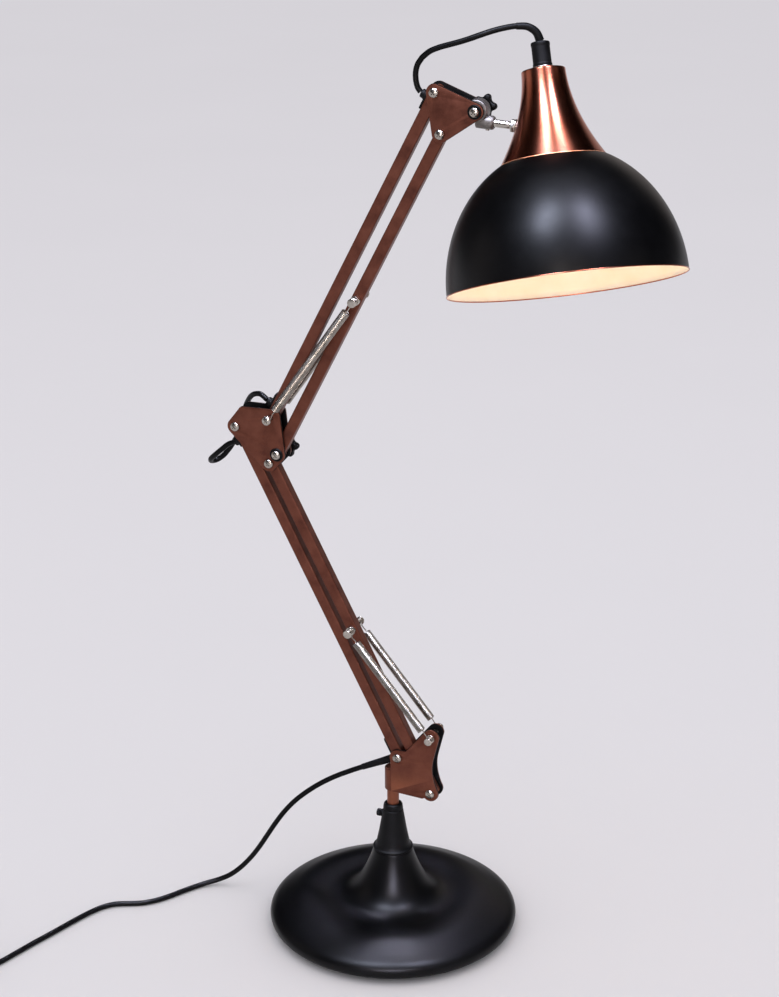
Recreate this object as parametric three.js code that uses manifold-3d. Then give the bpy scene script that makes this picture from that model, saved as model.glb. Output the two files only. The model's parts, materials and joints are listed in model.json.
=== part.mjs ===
// Swing arm desk lamp with a weighted dish base, two parallel-bar arms balanced by
// extension springs, two fork brackets and an aluminium shade on a swivelling rod.
// Millimetres, +Z up, origin on the floor at the centre of the base, arms in the XZ plane,
// shade towards +X.
import * as THREE from 'three';
import { mergeVertices } from 'three/addons/utils/BufferGeometryUtils.js';
import Module from 'manifold-3d';

const wasm = await Module();
wasm.setup();

// ---------------------------------------------------------------- driving dimensions
const GAP = 0.3;                    // clearance between pieces that meet

// base
const BASE_RADIUS = 115;
const BASE_NECK_HEIGHT = 77;
const BASE_NECK_RADIUS = 18;
const COVER_WALL = 1.5;
const COVER_LIP = 10;               // how far the cover's foot turns in
// height above the foot at each distance in from the widest ring: rim, dish and neck
const COVER_RISE = [
  [5, 1.5], [1.2, 4.5], [0, 8.3], [1, 12.5], [4.6, 16.3], [10, 19.5], [17, 22.7], [25, 25.9],
  [33, 27.8], [41, 28.4], [49, 27.9], [57, 27.2], [66, 28], [74, 31.8], [81, 38.9],
  [86.6, 48.3], [91.4, 58.5], [94.8, 67.1], [97, 74.1],
];
const PAD_THICKNESS = 2;
const WEIGHT_RADIUS = 98;
const WEIGHT_THICKNESS = 14;
const WEIGHT_BORE_RADIUS = 11.5;

// socket collar and post
const COLLAR_HEIGHT = 46;
const COLLAR_TOP_RADIUS = 8.6;
const COLLAR_FOOT_RADIUS = 15.5;
const COLLAR_FLANGE_RADIUS = 18.5;
const COLLAR_FLANGE_HEIGHT = 5;
const COLLAR_FLANGE_EDGE = 2;
const COLLAR_SPIGOT_RADIUS = 8.2;   // part of the collar inside the cover's neck
const COLLAR_SPIGOT_LENGTH = 20;
const COLLAR_NUT_DROP = 7;          // cover's top to the nut's top face
const COLLAR_NUT_THICKNESS = 5;
const POST_RADIUS = 5.5;
const POST_TOP = 160;
const POST_ENGAGEMENT = 60;         // length of the post inside the collar and the base neck
const CLAMP_SCREW_DROP = 13;        // thumbscrew axis below the collar's top face
const CLAMP_SCREW_RADIUS = 2;
const CLAMP_HEAD_RADIUS = 3.4;
const CLAMP_HEAD_THICKNESS = 4;
const CLAMP_HEAD_SEAT = 11.6;       // post's axis to the back of the screw's head

// bars
const BAR_SIDE = 10;
const BAR_WALL = 1;
const LOWER_BAR_LENGTH = 338;       // pivot to pivot
const UPPER_BAR_LENGTH = 332;
const LOWER_LEAN = -26.9;           // degrees from vertical, towards +X
const UPPER_LEAN = 26.8;
const ANCHOR_FRACTION = 0.5;        // place of a spring anchor along its bar

// brackets
const PLATE_THICKNESS = 1.8;
const PLATE_HALF_GAP = 6.5;         // arm plane to the inner face of a bracket plate
const LOBE_RADIUS = 7.5;
const LOWER_PIVOT = [7, 173.7];     // left bar's pivot in the lower bracket, X and Z
const LOWER_LINK = [31.6, -31];     // from the left bar's pivot to the right bar's pivot
const SPRING_STUD = [39.1, 199.3];
const UPPER_OFFSET = [34, 12.1];    // elbow: lower left pivot to upper left pivot
const UPPER_LINK = [5.2, -34];
const HEAD_OFFSET = [35, -13.5];    // head bracket: upper left pivot to the tilt pivot
const FOLD_DROP = 4;                // right bar's pivot to the foot of the fold round the post
const SHOULDER_DROP = 12;           // left bar's pivot to where the plate meets the fold
const WAIST_HEIGHT = 20;            // right bar's pivot to the waist of the bracket's front edge
const WAIST_TOP = 34;

// screws, studs and knobs
const SCREW_RADIUS = 2;
const SCREW_HEAD_RADIUS = 4.2;
const SCREW_HEAD_HEIGHT = 2.6;
const STUD_RADIUS = 2.2;
const STUD_REACH = 17.5;            // arm plane to the end of a spring stud or anchor pin
const KNOB_RADIUS = 10.5;
const KNOB_LOBES = 5;
const KNOB_THICKNESS = 9;
const KNOB_HUB_RADIUS = 5.5;
const KNOB_HUB_LENGTH = 5;          // lifts the lobes over the screw ends beside the knob
const WASHER_RADIUS = 6;
const WASHER_THICKNESS = 1;

// springs
const SPRING_RADIUS = 4;
const SPRING_OFFSET = 13;           // arm plane to a spring's axis
const HOOK_LENGTH = 11;             // end hook beyond the closed turns

// knuckle, rod and shade
const KNUCKLE_RADIUS = 9.5;
const KNUCKLE_HALF_WIDTH = 5.6;
const ROD_RADIUS = 3.2;
const ROD_DROP = 8.6;               // tilt axis to the rod's axis
const ROD_REACH = 34.3;             // tilt axis to the shade's wall, along the rod
const ROD_SAG = 3.7;                // degrees the rod points below level
const SHADE_ANGLE = 73.2;           // degrees between the rod and the shade's axis
const SHADE_ROLL = 18.6;            // degrees the shade is rolled about the rod
const SHADE_WALL = 1.2;
const NECK_TOP_RADIUS = 18;
const NECK_MID_RADIUS = 26.6;       // at the rod
const NECK_FOOT_RADIUS = 43.3;
const NECK_TOP = 41.6;              // rod to the neck's top, along the shade's axis
const NECK_FOOT = 32.4;             // rod to the seam between neck and dome
const SHADE_RADIUS = 98;
const SHADE_MOUTH = 132.9;          // rod to the mouth, along the shade's axis
const HOLDER_RADIUS = 17;
const HOLDER_LENGTH = 46;
const HOLDER_SOCKET_DEPTH = 22;
const BULB_RADIUS = 28;
const BULB_WALL = 1;
const BULB_NECK_LENGTH = 22;
const BULB_CAP_RADIUS = 13;
const BULB_CAP_SHOWING = 4;         // cap below the holder's rim
const GLAND_RADIUS = 8;
const GLAND_HEIGHT = 20;
const GLAND_RING_RADIUS = 9.2;
const GLAND_RING_THICKNESS = 2;
const LEAD_HOLE_RADIUS = 3.5;

// lead
const CORD_DIAMETER = 4.8;
const COIL_RADIUS = 26;             // middle of the turns
const COIL_WIDTH = 15;
const COIL_HEIGHT = 14.4;
const FLOOR_CORD_HEIGHT = CORD_DIAMETER / 2 + 0.1;

// ---------------------------------------------------------------- materials
function finish(color, roughness, metalness) {
  return new THREE.MeshStandardMaterial({ color, roughness, metalness });
}
const BROWN_PAINT = finish(0x6b382c, 0.45, 0.5);
const BLACK_PAINT = finish(0x0c0c0f, 0.35, 0.1);
const BLACK_PLASTIC = finish(0x101012, 0.5, 0);
const NICKEL = finish(0xb9b4ac, 0.25, 1);
const GREY_METAL = finish(0x77736f, 0.45, 0.9);
const COPPER = finish(0xb4613f, 0.25, 1);
const CAST_IRON = finish(0x3a3a3a, 0.8, 0.6);
const RUBBER = finish(0x1a1a1a, 0.9, 0);
const OPAL_GLASS = finish(0xfff0d5, 0.3, 0);
const BLACK_PVC = finish(0x0e0e10, 0.45, 0);

// ---------------------------------------------------------------- solids
const lamp = new THREE.Group();

function toSolid(geometry) {
  const plain = geometry.clone();
  plain.deleteAttribute('normal');
  plain.deleteAttribute('uv');
  const merged = mergeVertices(plain, 1e-4);
  const vertProperties = new Float32Array(merged.attributes.position.array);
  const triVerts = new Uint32Array(merged.index.array);
  return new wasm.Manifold(new wasm.Mesh({ numProp: 3, vertProperties, triVerts }));
}

function toGeometry(solid) {
  const mesh = solid.getMesh();
  const geometry = new THREE.BufferGeometry();
  geometry.setAttribute('position', new THREE.BufferAttribute(mesh.vertProperties, 3));
  geometry.setIndex(new THREE.BufferAttribute(mesh.triVerts, 1));
  geometry.computeVertexNormals();
  return geometry;
}

function cut(geometry, ...tools) {
  let solid = toSolid(geometry);
  for (const tool of tools) {
    solid = solid.subtract(toSolid(tool));
  }
  return toGeometry(solid);
}

function join(geometry, ...others) {
  let solid = toSolid(geometry);
  for (const other of others) {
    solid = solid.add(toSolid(other));
  }
  return toGeometry(solid);
}

function add(parent, name, geometry, material) {
  const mesh = new THREE.Mesh(geometry, material);
  mesh.name = name;
  parent.add(mesh);
  return mesh;
}

function frameAt(parent, x, z, leanDegrees = 0) {
  const frame = new THREE.Group();
  frame.position.set(x, 0, z);
  frame.rotation.y = THREE.MathUtils.degToRad(leanDegrees);
  parent.add(frame);
  return frame;
}

// a turned shape about Z from radius and height pairs; ends on the axis or closes on itself
function turned(profile, sides) {
  const points = profile.map(([radius, height]) => new THREE.Vector2(radius, height));
  return new THREE.LatheGeometry(points, sides).rotateX(Math.PI / 2);
}

// a bar of round section along Z
function rodZ(radius, bottom, top, sides = 20) {
  return turned([[0, bottom], [radius, bottom], [radius, top], [0, top]], sides);
}

// a bar of round section along Y through X, Z
function rodY(radius, front, back, x = 0, z = 0, sides = 20) {
  return rodZ(radius, -back, -front, sides).rotateX(Math.PI / 2).translate(x, 0, z);
}

// a flat shape drawn in X and Z, from y = front to y = back
function sheetY(shape, front, back) {
  const sheet = new THREE.ExtrudeGeometry(shape, {
    depth: back - front,
    bevelEnabled: false,
    curveSegments: 6,
  });
  return sheet.rotateX(Math.PI / 2).translate(0, back, 0);
}

// evenly spaced heights between two ends, both ends included
function steps(start, end, count) {
  return Array.from({ length: count + 1 }, (_, i) => start + ((end - start) * i) / count);
}

// ---------------------------------------------------------------- base
// pressed sheet: a broad round rim, a shallow dish and a rising neck, foot turned in
function coverProfile() {
  const foot = PAD_THICKNESS + GAP;
  const bore = COLLAR_SPIGOT_RADIUS + GAP;
  const top = BASE_NECK_HEIGHT;
  const scale = (BASE_RADIUS - BASE_NECK_RADIUS) / COVER_RISE.at(-1)[0];
  const outer = COVER_RISE.map(([inward, rise]) => [BASE_RADIUS - scale * inward, foot + rise]);
  outer.unshift([BASE_RADIUS - COVER_LIP, foot]);
  const inner = outer.slice(0, -1).map((point, index) => {
    const before = outer[Math.max(index - 1, 0)];
    const run = outer[index + 1][0] - before[0];
    const rise = outer[index + 1][1] - before[1];
    const wall = COVER_WALL / Math.hypot(run, rise);
    return [point[0] - rise * wall, point[1] + run * wall];
  });
  inner.reverse();
  return [...outer, [bore, top], [bore, top - COVER_WALL], ...inner, outer[0]];
}

function buildBase() {
  const coverBottom = PAD_THICKNESS + GAP;
  add(lamp, 'base_cover', turned(coverProfile(), 40), BLACK_PAINT);
  add(lamp, 'base_pad', rodZ(BASE_RADIUS - COVER_LIP - 1, 0, PAD_THICKNESS, 48), RUBBER);
  const weight = turned([
    [WEIGHT_BORE_RADIUS, coverBottom],
    [WEIGHT_RADIUS, coverBottom],
    [WEIGHT_RADIUS, coverBottom + WEIGHT_THICKNESS],
    [WEIGHT_BORE_RADIUS, coverBottom + WEIGHT_THICKNESS],
    [WEIGHT_BORE_RADIUS, coverBottom],
  ], 40);
  add(lamp, 'base_weight', weight, CAST_IRON);

  const foot = BASE_NECK_HEIGHT + GAP;
  const bore = POST_RADIUS + GAP;
  const collar = turned([
    [bore, foot - COLLAR_SPIGOT_LENGTH],
    [COLLAR_SPIGOT_RADIUS, foot - COLLAR_SPIGOT_LENGTH],
    [COLLAR_SPIGOT_RADIUS, foot],
    [COLLAR_FLANGE_RADIUS, foot],
    [COLLAR_FLANGE_RADIUS, foot + COLLAR_FLANGE_EDGE],
    [COLLAR_FOOT_RADIUS, foot + COLLAR_FLANGE_HEIGHT],
    [COLLAR_TOP_RADIUS, foot + COLLAR_HEIGHT - 1],
    [COLLAR_TOP_RADIUS - 1, foot + COLLAR_HEIGHT],
    [bore, foot + COLLAR_HEIGHT],
    [bore, foot - COLLAR_SPIGOT_LENGTH],
  ], 32);
  const screwHeight = foot + COLLAR_HEIGHT - CLAMP_SCREW_DROP;
  const through = 2 * COLLAR_FOOT_RADIUS;
  const tapping = rodZ(CLAMP_SCREW_RADIUS + GAP, 0, through, 16).rotateY(-Math.PI / 2);
  tapping.translate(0, 0, screwHeight);
  add(lamp, 'socket_collar', cut(collar, tapping), BLACK_PLASTIC);
  const nutTop = foot - COLLAR_NUT_DROP;
  const nut = cut(
    rodZ(BASE_NECK_RADIUS - 5, nutTop - COLLAR_NUT_THICKNESS, nutTop, 6),
    rodZ(COLLAR_SPIGOT_RADIUS + GAP, foot - COLLAR_SPIGOT_LENGTH, foot, 24),
  );
  add(lamp, 'collar_nut', nut, NICKEL);

  const shank = rodZ(CLAMP_SCREW_RADIUS, POST_RADIUS + GAP, CLAMP_HEAD_SEAT + 1, 16);
  const headEnd = CLAMP_HEAD_SEAT + CLAMP_HEAD_THICKNESS;
  const head = rodZ(CLAMP_HEAD_RADIUS, CLAMP_HEAD_SEAT, headEnd, 12);
  const screw = join(shank, head).rotateY(-Math.PI / 2).translate(0, 0, screwHeight);
  add(lamp, 'collar_clamp_screw', screw, BLACK_PLASTIC);
}

// ---------------------------------------------------------------- brackets
const PLATE_BACK = PLATE_HALF_GAP + PLATE_THICKNESS;

// holes are [x, z, radius]
function platePair(parent, prefix, shape, holes, material) {
  const faces = { front: [-PLATE_BACK, -PLATE_HALF_GAP], rear: [PLATE_HALF_GAP, PLATE_BACK] };
  for (const [side, [front, back]] of Object.entries(faces)) {
    add(parent, `${prefix}_${side}_plate`, drilled(sheetY(shape, front, back), holes), material);
  }
}

function drilled(geometry, holes) {
  const reach = 2 * STUD_REACH;
  const drills = holes.map(([x, z, radius]) => rodY(radius, -reach, reach, x, z, 14));
  return cut(geometry, ...drills);
}

// an outline that runs round lobes: [x, z, radius, start angle, end angle] in degrees,
// with a straight edge, or a curve through a waist point, from each lobe to the next
function lobedOutline(lobes) {
  const shape = new THREE.Shape();
  lobes.forEach(([x, z, radius, from, to, waist], index) => {
    const start = THREE.MathUtils.degToRad(from);
    const end = THREE.MathUtils.degToRad(to);
    const first = [x + radius * Math.cos(start), z + radius * Math.sin(start)];
    if (index === 0) {
      shape.moveTo(...first);
    } else if (waist) {
      shape.quadraticCurveTo(...waist, ...first);
    } else {
      shape.lineTo(...first);
    }
    shape.absarc(x, z, radius, start, end, end < start);
  });
  shape.closePath();
  return shape;
}

const CLEAR_HOLE = SCREW_RADIUS + GAP;

// a pan head screw along Y with its head on the front plate
function panScrew(parent, name, x, z, extra = 0) {
  const front = -PLATE_BACK - GAP - extra;
  const shank = rodY(SCREW_RADIUS, front - 0.5, PLATE_BACK + 4, x, z, 16);
  const head = turned([
    [0, 0],
    [SCREW_HEAD_RADIUS, 0],
    [SCREW_HEAD_RADIUS * 0.93, SCREW_HEAD_HEIGHT * 0.55],
    [SCREW_HEAD_RADIUS * 0.6, SCREW_HEAD_HEIGHT],
    [0, SCREW_HEAD_HEIGHT],
  ], 16);
  head.rotateX(Math.PI / 2).translate(x, front, z);
  add(parent, name, join(shank, head), NICKEL);
}

function buildLowerBracket() {
  const [pivotX, pivotZ] = LOWER_PIVOT;
  const rightX = pivotX + LOWER_LINK[0];
  const rightZ = pivotZ + LOWER_LINK[1];
  const [studX, studZ] = SPRING_STUD;
  const foldX = PLATE_BACK - POST_RADIUS - PLATE_THICKNESS - GAP;
  const bottom = rightZ - FOLD_DROP;
  const shape = new THREE.Shape();
  shape.moveTo(foldX, bottom);
  shape.lineTo(rightX - LOBE_RADIUS, rightZ - LOBE_RADIUS * 0.85);
  shape.absarc(rightX, rightZ, LOBE_RADIUS, Math.PI * 1.25, Math.PI * 2.2, false);
  shape.quadraticCurveTo(rightX - 0.5, rightZ + WAIST_HEIGHT, rightX + 2.5, rightZ + WAIST_TOP);
  shape.lineTo(studX + LOBE_RADIUS, studZ);
  shape.absarc(studX, studZ, LOBE_RADIUS, 0, Math.PI * 0.75, false);
  shape.lineTo(pivotX + LOBE_RADIUS + 0.5, pivotZ + LOBE_RADIUS);
  shape.lineTo(pivotX - 1, pivotZ + LOBE_RADIUS);
  shape.absarc(pivotX, pivotZ, LOBE_RADIUS, Math.PI * 0.55, Math.PI * 1.1, false);
  shape.lineTo(foldX, pivotZ - SHOULDER_DROP);
  shape.closePath();
  const plates = [[-PLATE_BACK, -PLATE_HALF_GAP], [PLATE_HALF_GAP, PLATE_BACK]]
    .map(([front, back]) => sheetY(shape, front, back));
  const fold = turned([
    [PLATE_HALF_GAP, bottom],
    [PLATE_BACK, bottom],
    [PLATE_BACK, POST_TOP],
    [PLATE_HALF_GAP, POST_TOP],
    [PLATE_HALF_GAP, bottom],
  ], 32).translate(foldX, 0, 0);
  const side = 4 * PLATE_BACK;
  const ahead = new THREE.BoxGeometry(side, side, POST_TOP - bottom + 10);
  ahead.translate(foldX + side / 2 + 0.1, 0, (POST_TOP + bottom) / 2);
  const sheet = join(cut(fold, ahead), ...plates);
  const holes = [
    [pivotX, pivotZ, CLEAR_HOLE],
    [rightX, rightZ, CLEAR_HOLE],
    [studX, studZ, STUD_RADIUS + GAP],
  ];
  add(lamp, 'lower_bracket', drilled(sheet, holes), BROWN_PAINT);

  const postFoot = BASE_NECK_HEIGHT + COLLAR_HEIGHT - POST_ENGAGEMENT;
  add(lamp, 'post', rodZ(POST_RADIUS, postFoot, POST_TOP, 24), BROWN_PAINT);
  panScrew(lamp, 'lower_left_pivot_screw', pivotX, pivotZ);
  panScrew(lamp, 'lower_right_pivot_screw', rightX, rightZ);
  for (const [side, sign] of [['front', -1], ['rear', 1]]) {
    const ends = [sign * (PLATE_HALF_GAP - 0.5), sign * STUD_REACH].sort((a, b) => a - b);
    const stud = rodY(STUD_RADIUS, ...ends, studX, studZ, 16);
    add(lamp, `lower_spring_stud_${side}`, stud, NICKEL);
  }
}

// outline of the elbow plates, relative to the lower left pivot
function elbowShape() {
  const lowerRight = LOWER_LINK;
  const upperLeft = UPPER_OFFSET;
  const upperRight = [upperLeft[0] + UPPER_LINK[0], upperLeft[1] + UPPER_LINK[1]];
  const corner = LOBE_RADIUS - 2;
  return lobedOutline([
    [0, 0, LOBE_RADIUS, 150, 225],
    [...lowerRight, LOBE_RADIUS, 225, 300],
    [...upperRight, LOBE_RADIUS, 315, 375],
    [upperLeft[0] + 3, upperLeft[1] + 2, corner, 10, 95],
    [8, upperLeft[1] + 1.5, corner, 90, 140],
  ]);
}

function buildElbow(elbow) {
  const upperRight = [UPPER_OFFSET[0] + UPPER_LINK[0], UPPER_OFFSET[1] + UPPER_LINK[1]];
  platePair(elbow, 'elbow', elbowShape(), [
    [0, 0, CLEAR_HOLE],
    [...LOWER_LINK, CLEAR_HOLE],
    [...UPPER_OFFSET, CLEAR_HOLE],
    [...upperRight, CLEAR_HOLE],
  ], BROWN_PAINT);
  panScrew(elbow, 'elbow_lower_left_screw', 0, 0);
  panScrew(elbow, 'elbow_lower_right_screw', ...LOWER_LINK);
  springScrew(elbow, 'elbow_spring_screw', ...UPPER_OFFSET);
  clampSet(elbow, 'elbow', ...upperRight);
}

// a long pan head screw that also holds a spring hook outside each plate
function springScrew(parent, name, x, z) {
  const shank = rodY(STUD_RADIUS - 0.2, -STUD_REACH, STUD_REACH, x, z, 16);
  const head = rodY(SCREW_HEAD_RADIUS, -STUD_REACH - SCREW_HEAD_HEIGHT, -STUD_REACH + 0.2, x, z, 16);
  add(parent, name, join(shank, head), NICKEL);
}

// bolt, dished washer and star knob that clamp a pivot
function clampSet(parent, prefix, x, z) {
  const front = -PLATE_BACK - GAP;
  const knobFront = PLATE_BACK + GAP;
  const washer = cut(
    rodY(WASHER_RADIUS, front - WASHER_THICKNESS, front, x, z, 24),
    rodY(CLEAR_HOLE, 2 * front, 0, x, z, 20),
  );
  add(parent, `${prefix}_clamp_washer`, washer, BLACK_PLASTIC);
  const boltFront = front - WASHER_THICKNESS - GAP;
  const lobesFront = knobFront + KNOB_HUB_LENGTH;
  const knobBack = lobesFront + KNOB_THICKNESS;
  const shank = rodY(SCREW_RADIUS, boltFront - 0.5, knobBack - 3, x, z, 16);
  const head = rodY(SCREW_HEAD_RADIUS, boltFront - SCREW_HEAD_HEIGHT, boltFront, x, z, 6);
  add(parent, `${prefix}_clamp_bolt`, join(shank, head), NICKEL);
  const lobes = (angle) => KNOB_RADIUS * (0.86 + 0.14 * Math.cos(KNOB_LOBES * angle));
  const star = sheetY(roundOutline(KNOB_LOBES * 8, lobes), lobesFront, knobBack);
  const hub = rodY(KNOB_HUB_RADIUS, knobFront, lobesFront + 1, 0, 0, 24);
  const insert = rodY(CLEAR_HOLE, knobFront - 1, knobBack - 2, 0, 0, 20);
  const knob = cut(join(star, hub), insert);
  add(parent, `${prefix}_knob`, knob.translate(x, 0, z), BLACK_PLASTIC);
}

// closed outline about the origin whose radius is a function of the angle
function roundOutline(count, radiusAt) {
  const points = steps(0, Math.PI * 2, count).slice(0, -1).map((angle) => (
    new THREE.Vector2(radiusAt(angle) * Math.cos(angle), radiusAt(angle) * Math.sin(angle))
  ));
  return new THREE.Shape(points);
}

// ---------------------------------------------------------------- bars
const GROMMET_INNER_END = 20;       // pivot to the far end of a grommet, along the bar
const GROMMET_LIP = 4;              // lead's exit to the near end of a grommet
const GROMMET_THICKNESS = 1.6;
const SNOUT_RADIUS = 3.8;
const SNOUT_LENGTH = 4;
const SLOT_START = 8;
const SLOT_LENGTH = 11;
const SLOT_WIDTH = 5.6;
// pivot to the lead's exit, along the bar
const LEAD_EXITS = {
  lower_left: { foot: -1, top: 14 },
  upper_left: { foot: 9, top: 8 },
};

// square tube along Z from pivot to pivot with round ends
function barTube(length) {
  const half = BAR_SIDE / 2;
  const shape = new THREE.Shape();
  shape.absarc(0, 0, half, Math.PI, Math.PI * 2, false);
  shape.absarc(0, length, half, 0, Math.PI, false);
  shape.closePath();
  const outside = sheetY(shape, -half, half);
  const inner = BAR_SIDE - 2 * BAR_WALL;
  const hollow = new THREE.BoxGeometry(inner, inner, length + BAR_SIDE + 2);
  hollow.translate(0, 0, length / 2);
  return drilled(cut(outside, hollow), [[0, 0, CLEAR_HOLE], [0, length, CLEAR_HOLE]]);
}

// grommet on the tube's side face: a flange, a plug in the slot and a snout for the lead;
// distances run from its pivot towards the middle of the bar
function grommet(exit) {
  const half = BAR_SIDE / 2;
  const near = exit - GROMMET_LIP;
  const flange = new THREE.BoxGeometry(GROMMET_THICKNESS, BAR_SIDE - 2, GROMMET_INNER_END - near);
  flange.translate(-half - GAP - GROMMET_THICKNESS / 2, 0, (GROMMET_INNER_END + near) / 2);
  const plug = new THREE.BoxGeometry(2, SLOT_WIDTH - 2 * GAP, SLOT_LENGTH - 2 * GAP);
  plug.translate(-half + 0.2, 0, SLOT_START + SLOT_LENGTH / 2);
  const face = half + GAP + GROMMET_THICKNESS;
  const snout = rodZ(SNOUT_RADIUS, face - 0.6, face + SNOUT_LENGTH, 16).rotateY(-Math.PI / 2);
  return join(flange, plug, snout.translate(0, 0, exit));
}

// tube that carries the lead, with a slot and a grommet near each end
function leadBar(parent, prefix, length) {
  const slots = [SLOT_START, length - SLOT_START - SLOT_LENGTH].map((start) => {
    const slot = new THREE.BoxGeometry(4, SLOT_WIDTH, SLOT_LENGTH);
    return slot.translate(-BAR_SIDE / 2, 0, start + SLOT_LENGTH / 2);
  });
  add(parent, `${prefix}_tube`, cut(barTube(length), ...slots), BROWN_PAINT);
  const exits = LEAD_EXITS[prefix];
  add(parent, `${prefix}_foot_grommet`, grommet(exits.foot), BLACK_PLASTIC);
  const top = grommet(exits.top).rotateX(Math.PI).translate(0, 0, length);
  add(parent, `${prefix}_top_grommet`, top, BLACK_PLASTIC);
  const lead = rodZ(CORD_DIAMETER / 2, GROMMET_INNER_END, length - GROMMET_INNER_END, 8);
  const leadOffset = BAR_SIDE / 2 - BAR_WALL - CORD_DIAMETER / 2 - 2 * GAP;
  add(parent, `${prefix}_lead`, lead.translate(leadOffset, 0, 0), BLACK_PVC);
}

// tube that carries the cross pin the springs pull on
function springBar(parent, prefix, length) {
  const place = length * ANCHOR_FRACTION;
  const tube = drilled(barTube(length), [[0, place, STUD_RADIUS + GAP]]);
  add(parent, `${prefix}_tube`, tube, BROWN_PAINT);
  add(parent, `${prefix}_anchor_pin`, rodY(STUD_RADIUS, -STUD_REACH, STUD_REACH, 0, place, 16), NICKEL);
}

// a closed-turn extension spring as its outer cylinder, between two hook points
function spring(name, start, end, side) {
  const from = new THREE.Vector3(start[0], side * SPRING_OFFSET, start[1]);
  const to = new THREE.Vector3(end[0], side * SPRING_OFFSET, end[1]);
  const span = from.distanceTo(to);
  const coil = rodZ(SPRING_RADIUS, HOOK_LENGTH, span - HOOK_LENGTH, 12);
  const turn = new THREE.Quaternion();
  turn.setFromUnitVectors(new THREE.Vector3(0, 0, 1), to.clone().sub(from).normalize());
  coil.applyQuaternion(turn).translate(...from.toArray());
  add(lamp, name, coil, NICKEL);
}

function along(pivot, leanDegrees, distance) {
  const lean = THREE.MathUtils.degToRad(leanDegrees);
  return [pivot[0] + distance * Math.sin(lean), pivot[1] + distance * Math.cos(lean)];
}

function plus(a, b) {
  return [a[0] + b[0], a[1] + b[1]];
}

// ---------------------------------------------------------------- head
function headShape() {
  const tilt = HEAD_OFFSET;
  return lobedOutline([
    [...UPPER_LINK, LOBE_RADIUS - 0.5, 190, 300],
    [...tilt, LOBE_RADIUS - 0.5, 295, 420],
    [0, 0, LOBE_RADIUS - 0.5, 60, 190],
  ]);
}

function buildHeadBracket(head) {
  platePair(head, 'head', headShape(), [
    [0, 0, CLEAR_HOLE],
    [...UPPER_LINK, CLEAR_HOLE],
    [...HEAD_OFFSET, CLEAR_HOLE],
  ], BROWN_PAINT);
  panScrew(head, 'head_left_pivot_screw', 0, 0);
  panScrew(head, 'head_right_pivot_screw', ...UPPER_LINK);
  clampSet(head, 'head', ...HEAD_OFFSET);
}

// knuckle on the tilt axis; its boss holds the rod
function buildKnuckle(tilt) {
  const boss = rodZ(ROD_RADIUS + 2.6, 0, 15, 20).rotateY(Math.PI / 2).translate(0, 0, -ROD_DROP);
  const disc = rodY(KNUCKLE_RADIUS, -KNUCKLE_HALF_WIDTH, KNUCKLE_HALF_WIDTH, 0, 0, 32);
  const boreEnd = rodZ(ROD_RADIUS + GAP, -2, 16, 20).rotateY(Math.PI / 2).translate(0, 0, -ROD_DROP);
  const body = cut(join(disc, boss), rodY(CLEAR_HOLE, -9, 9), boreEnd);
  add(tilt, 'head_knuckle', body, GREY_METAL);
}

// neck radius against the distance from the rod towards the mouth
function neckRadius(h) {
  const t = (h + NECK_TOP) / (NECK_TOP + NECK_FOOT);
  const middle = NECK_TOP / (NECK_TOP + NECK_FOOT);
  const share = (NECK_MID_RADIUS - NECK_TOP_RADIUS) / (NECK_FOOT_RADIUS - NECK_TOP_RADIUS);
  const power = Math.log(share) / Math.log(middle);
  return NECK_TOP_RADIUS + (NECK_FOOT_RADIUS - NECK_TOP_RADIUS) * t ** power;
}

// dome radius against the same distance: a quarter ellipse that meets the neck's foot
function domeRadius(h) {
  const squareness = Math.sqrt(1 - (NECK_FOOT_RADIUS / SHADE_RADIUS) ** 2);
  const height = (SHADE_MOUTH - NECK_FOOT) / squareness;
  return SHADE_RADIUS * Math.sqrt(1 - ((SHADE_MOUTH - h) / height) ** 2);
}

// closed wall of a turned shell; distances along the shade's axis grow towards the mouth
function shell(distances, radiusAt, wall) {
  const outer = [...distances].reverse().map((h) => [radiusAt(h), -h]);
  const inner = distances.map((h) => [radiusAt(h) - wall, -h]);
  return [...outer, ...inner, outer[0]];
}

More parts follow.
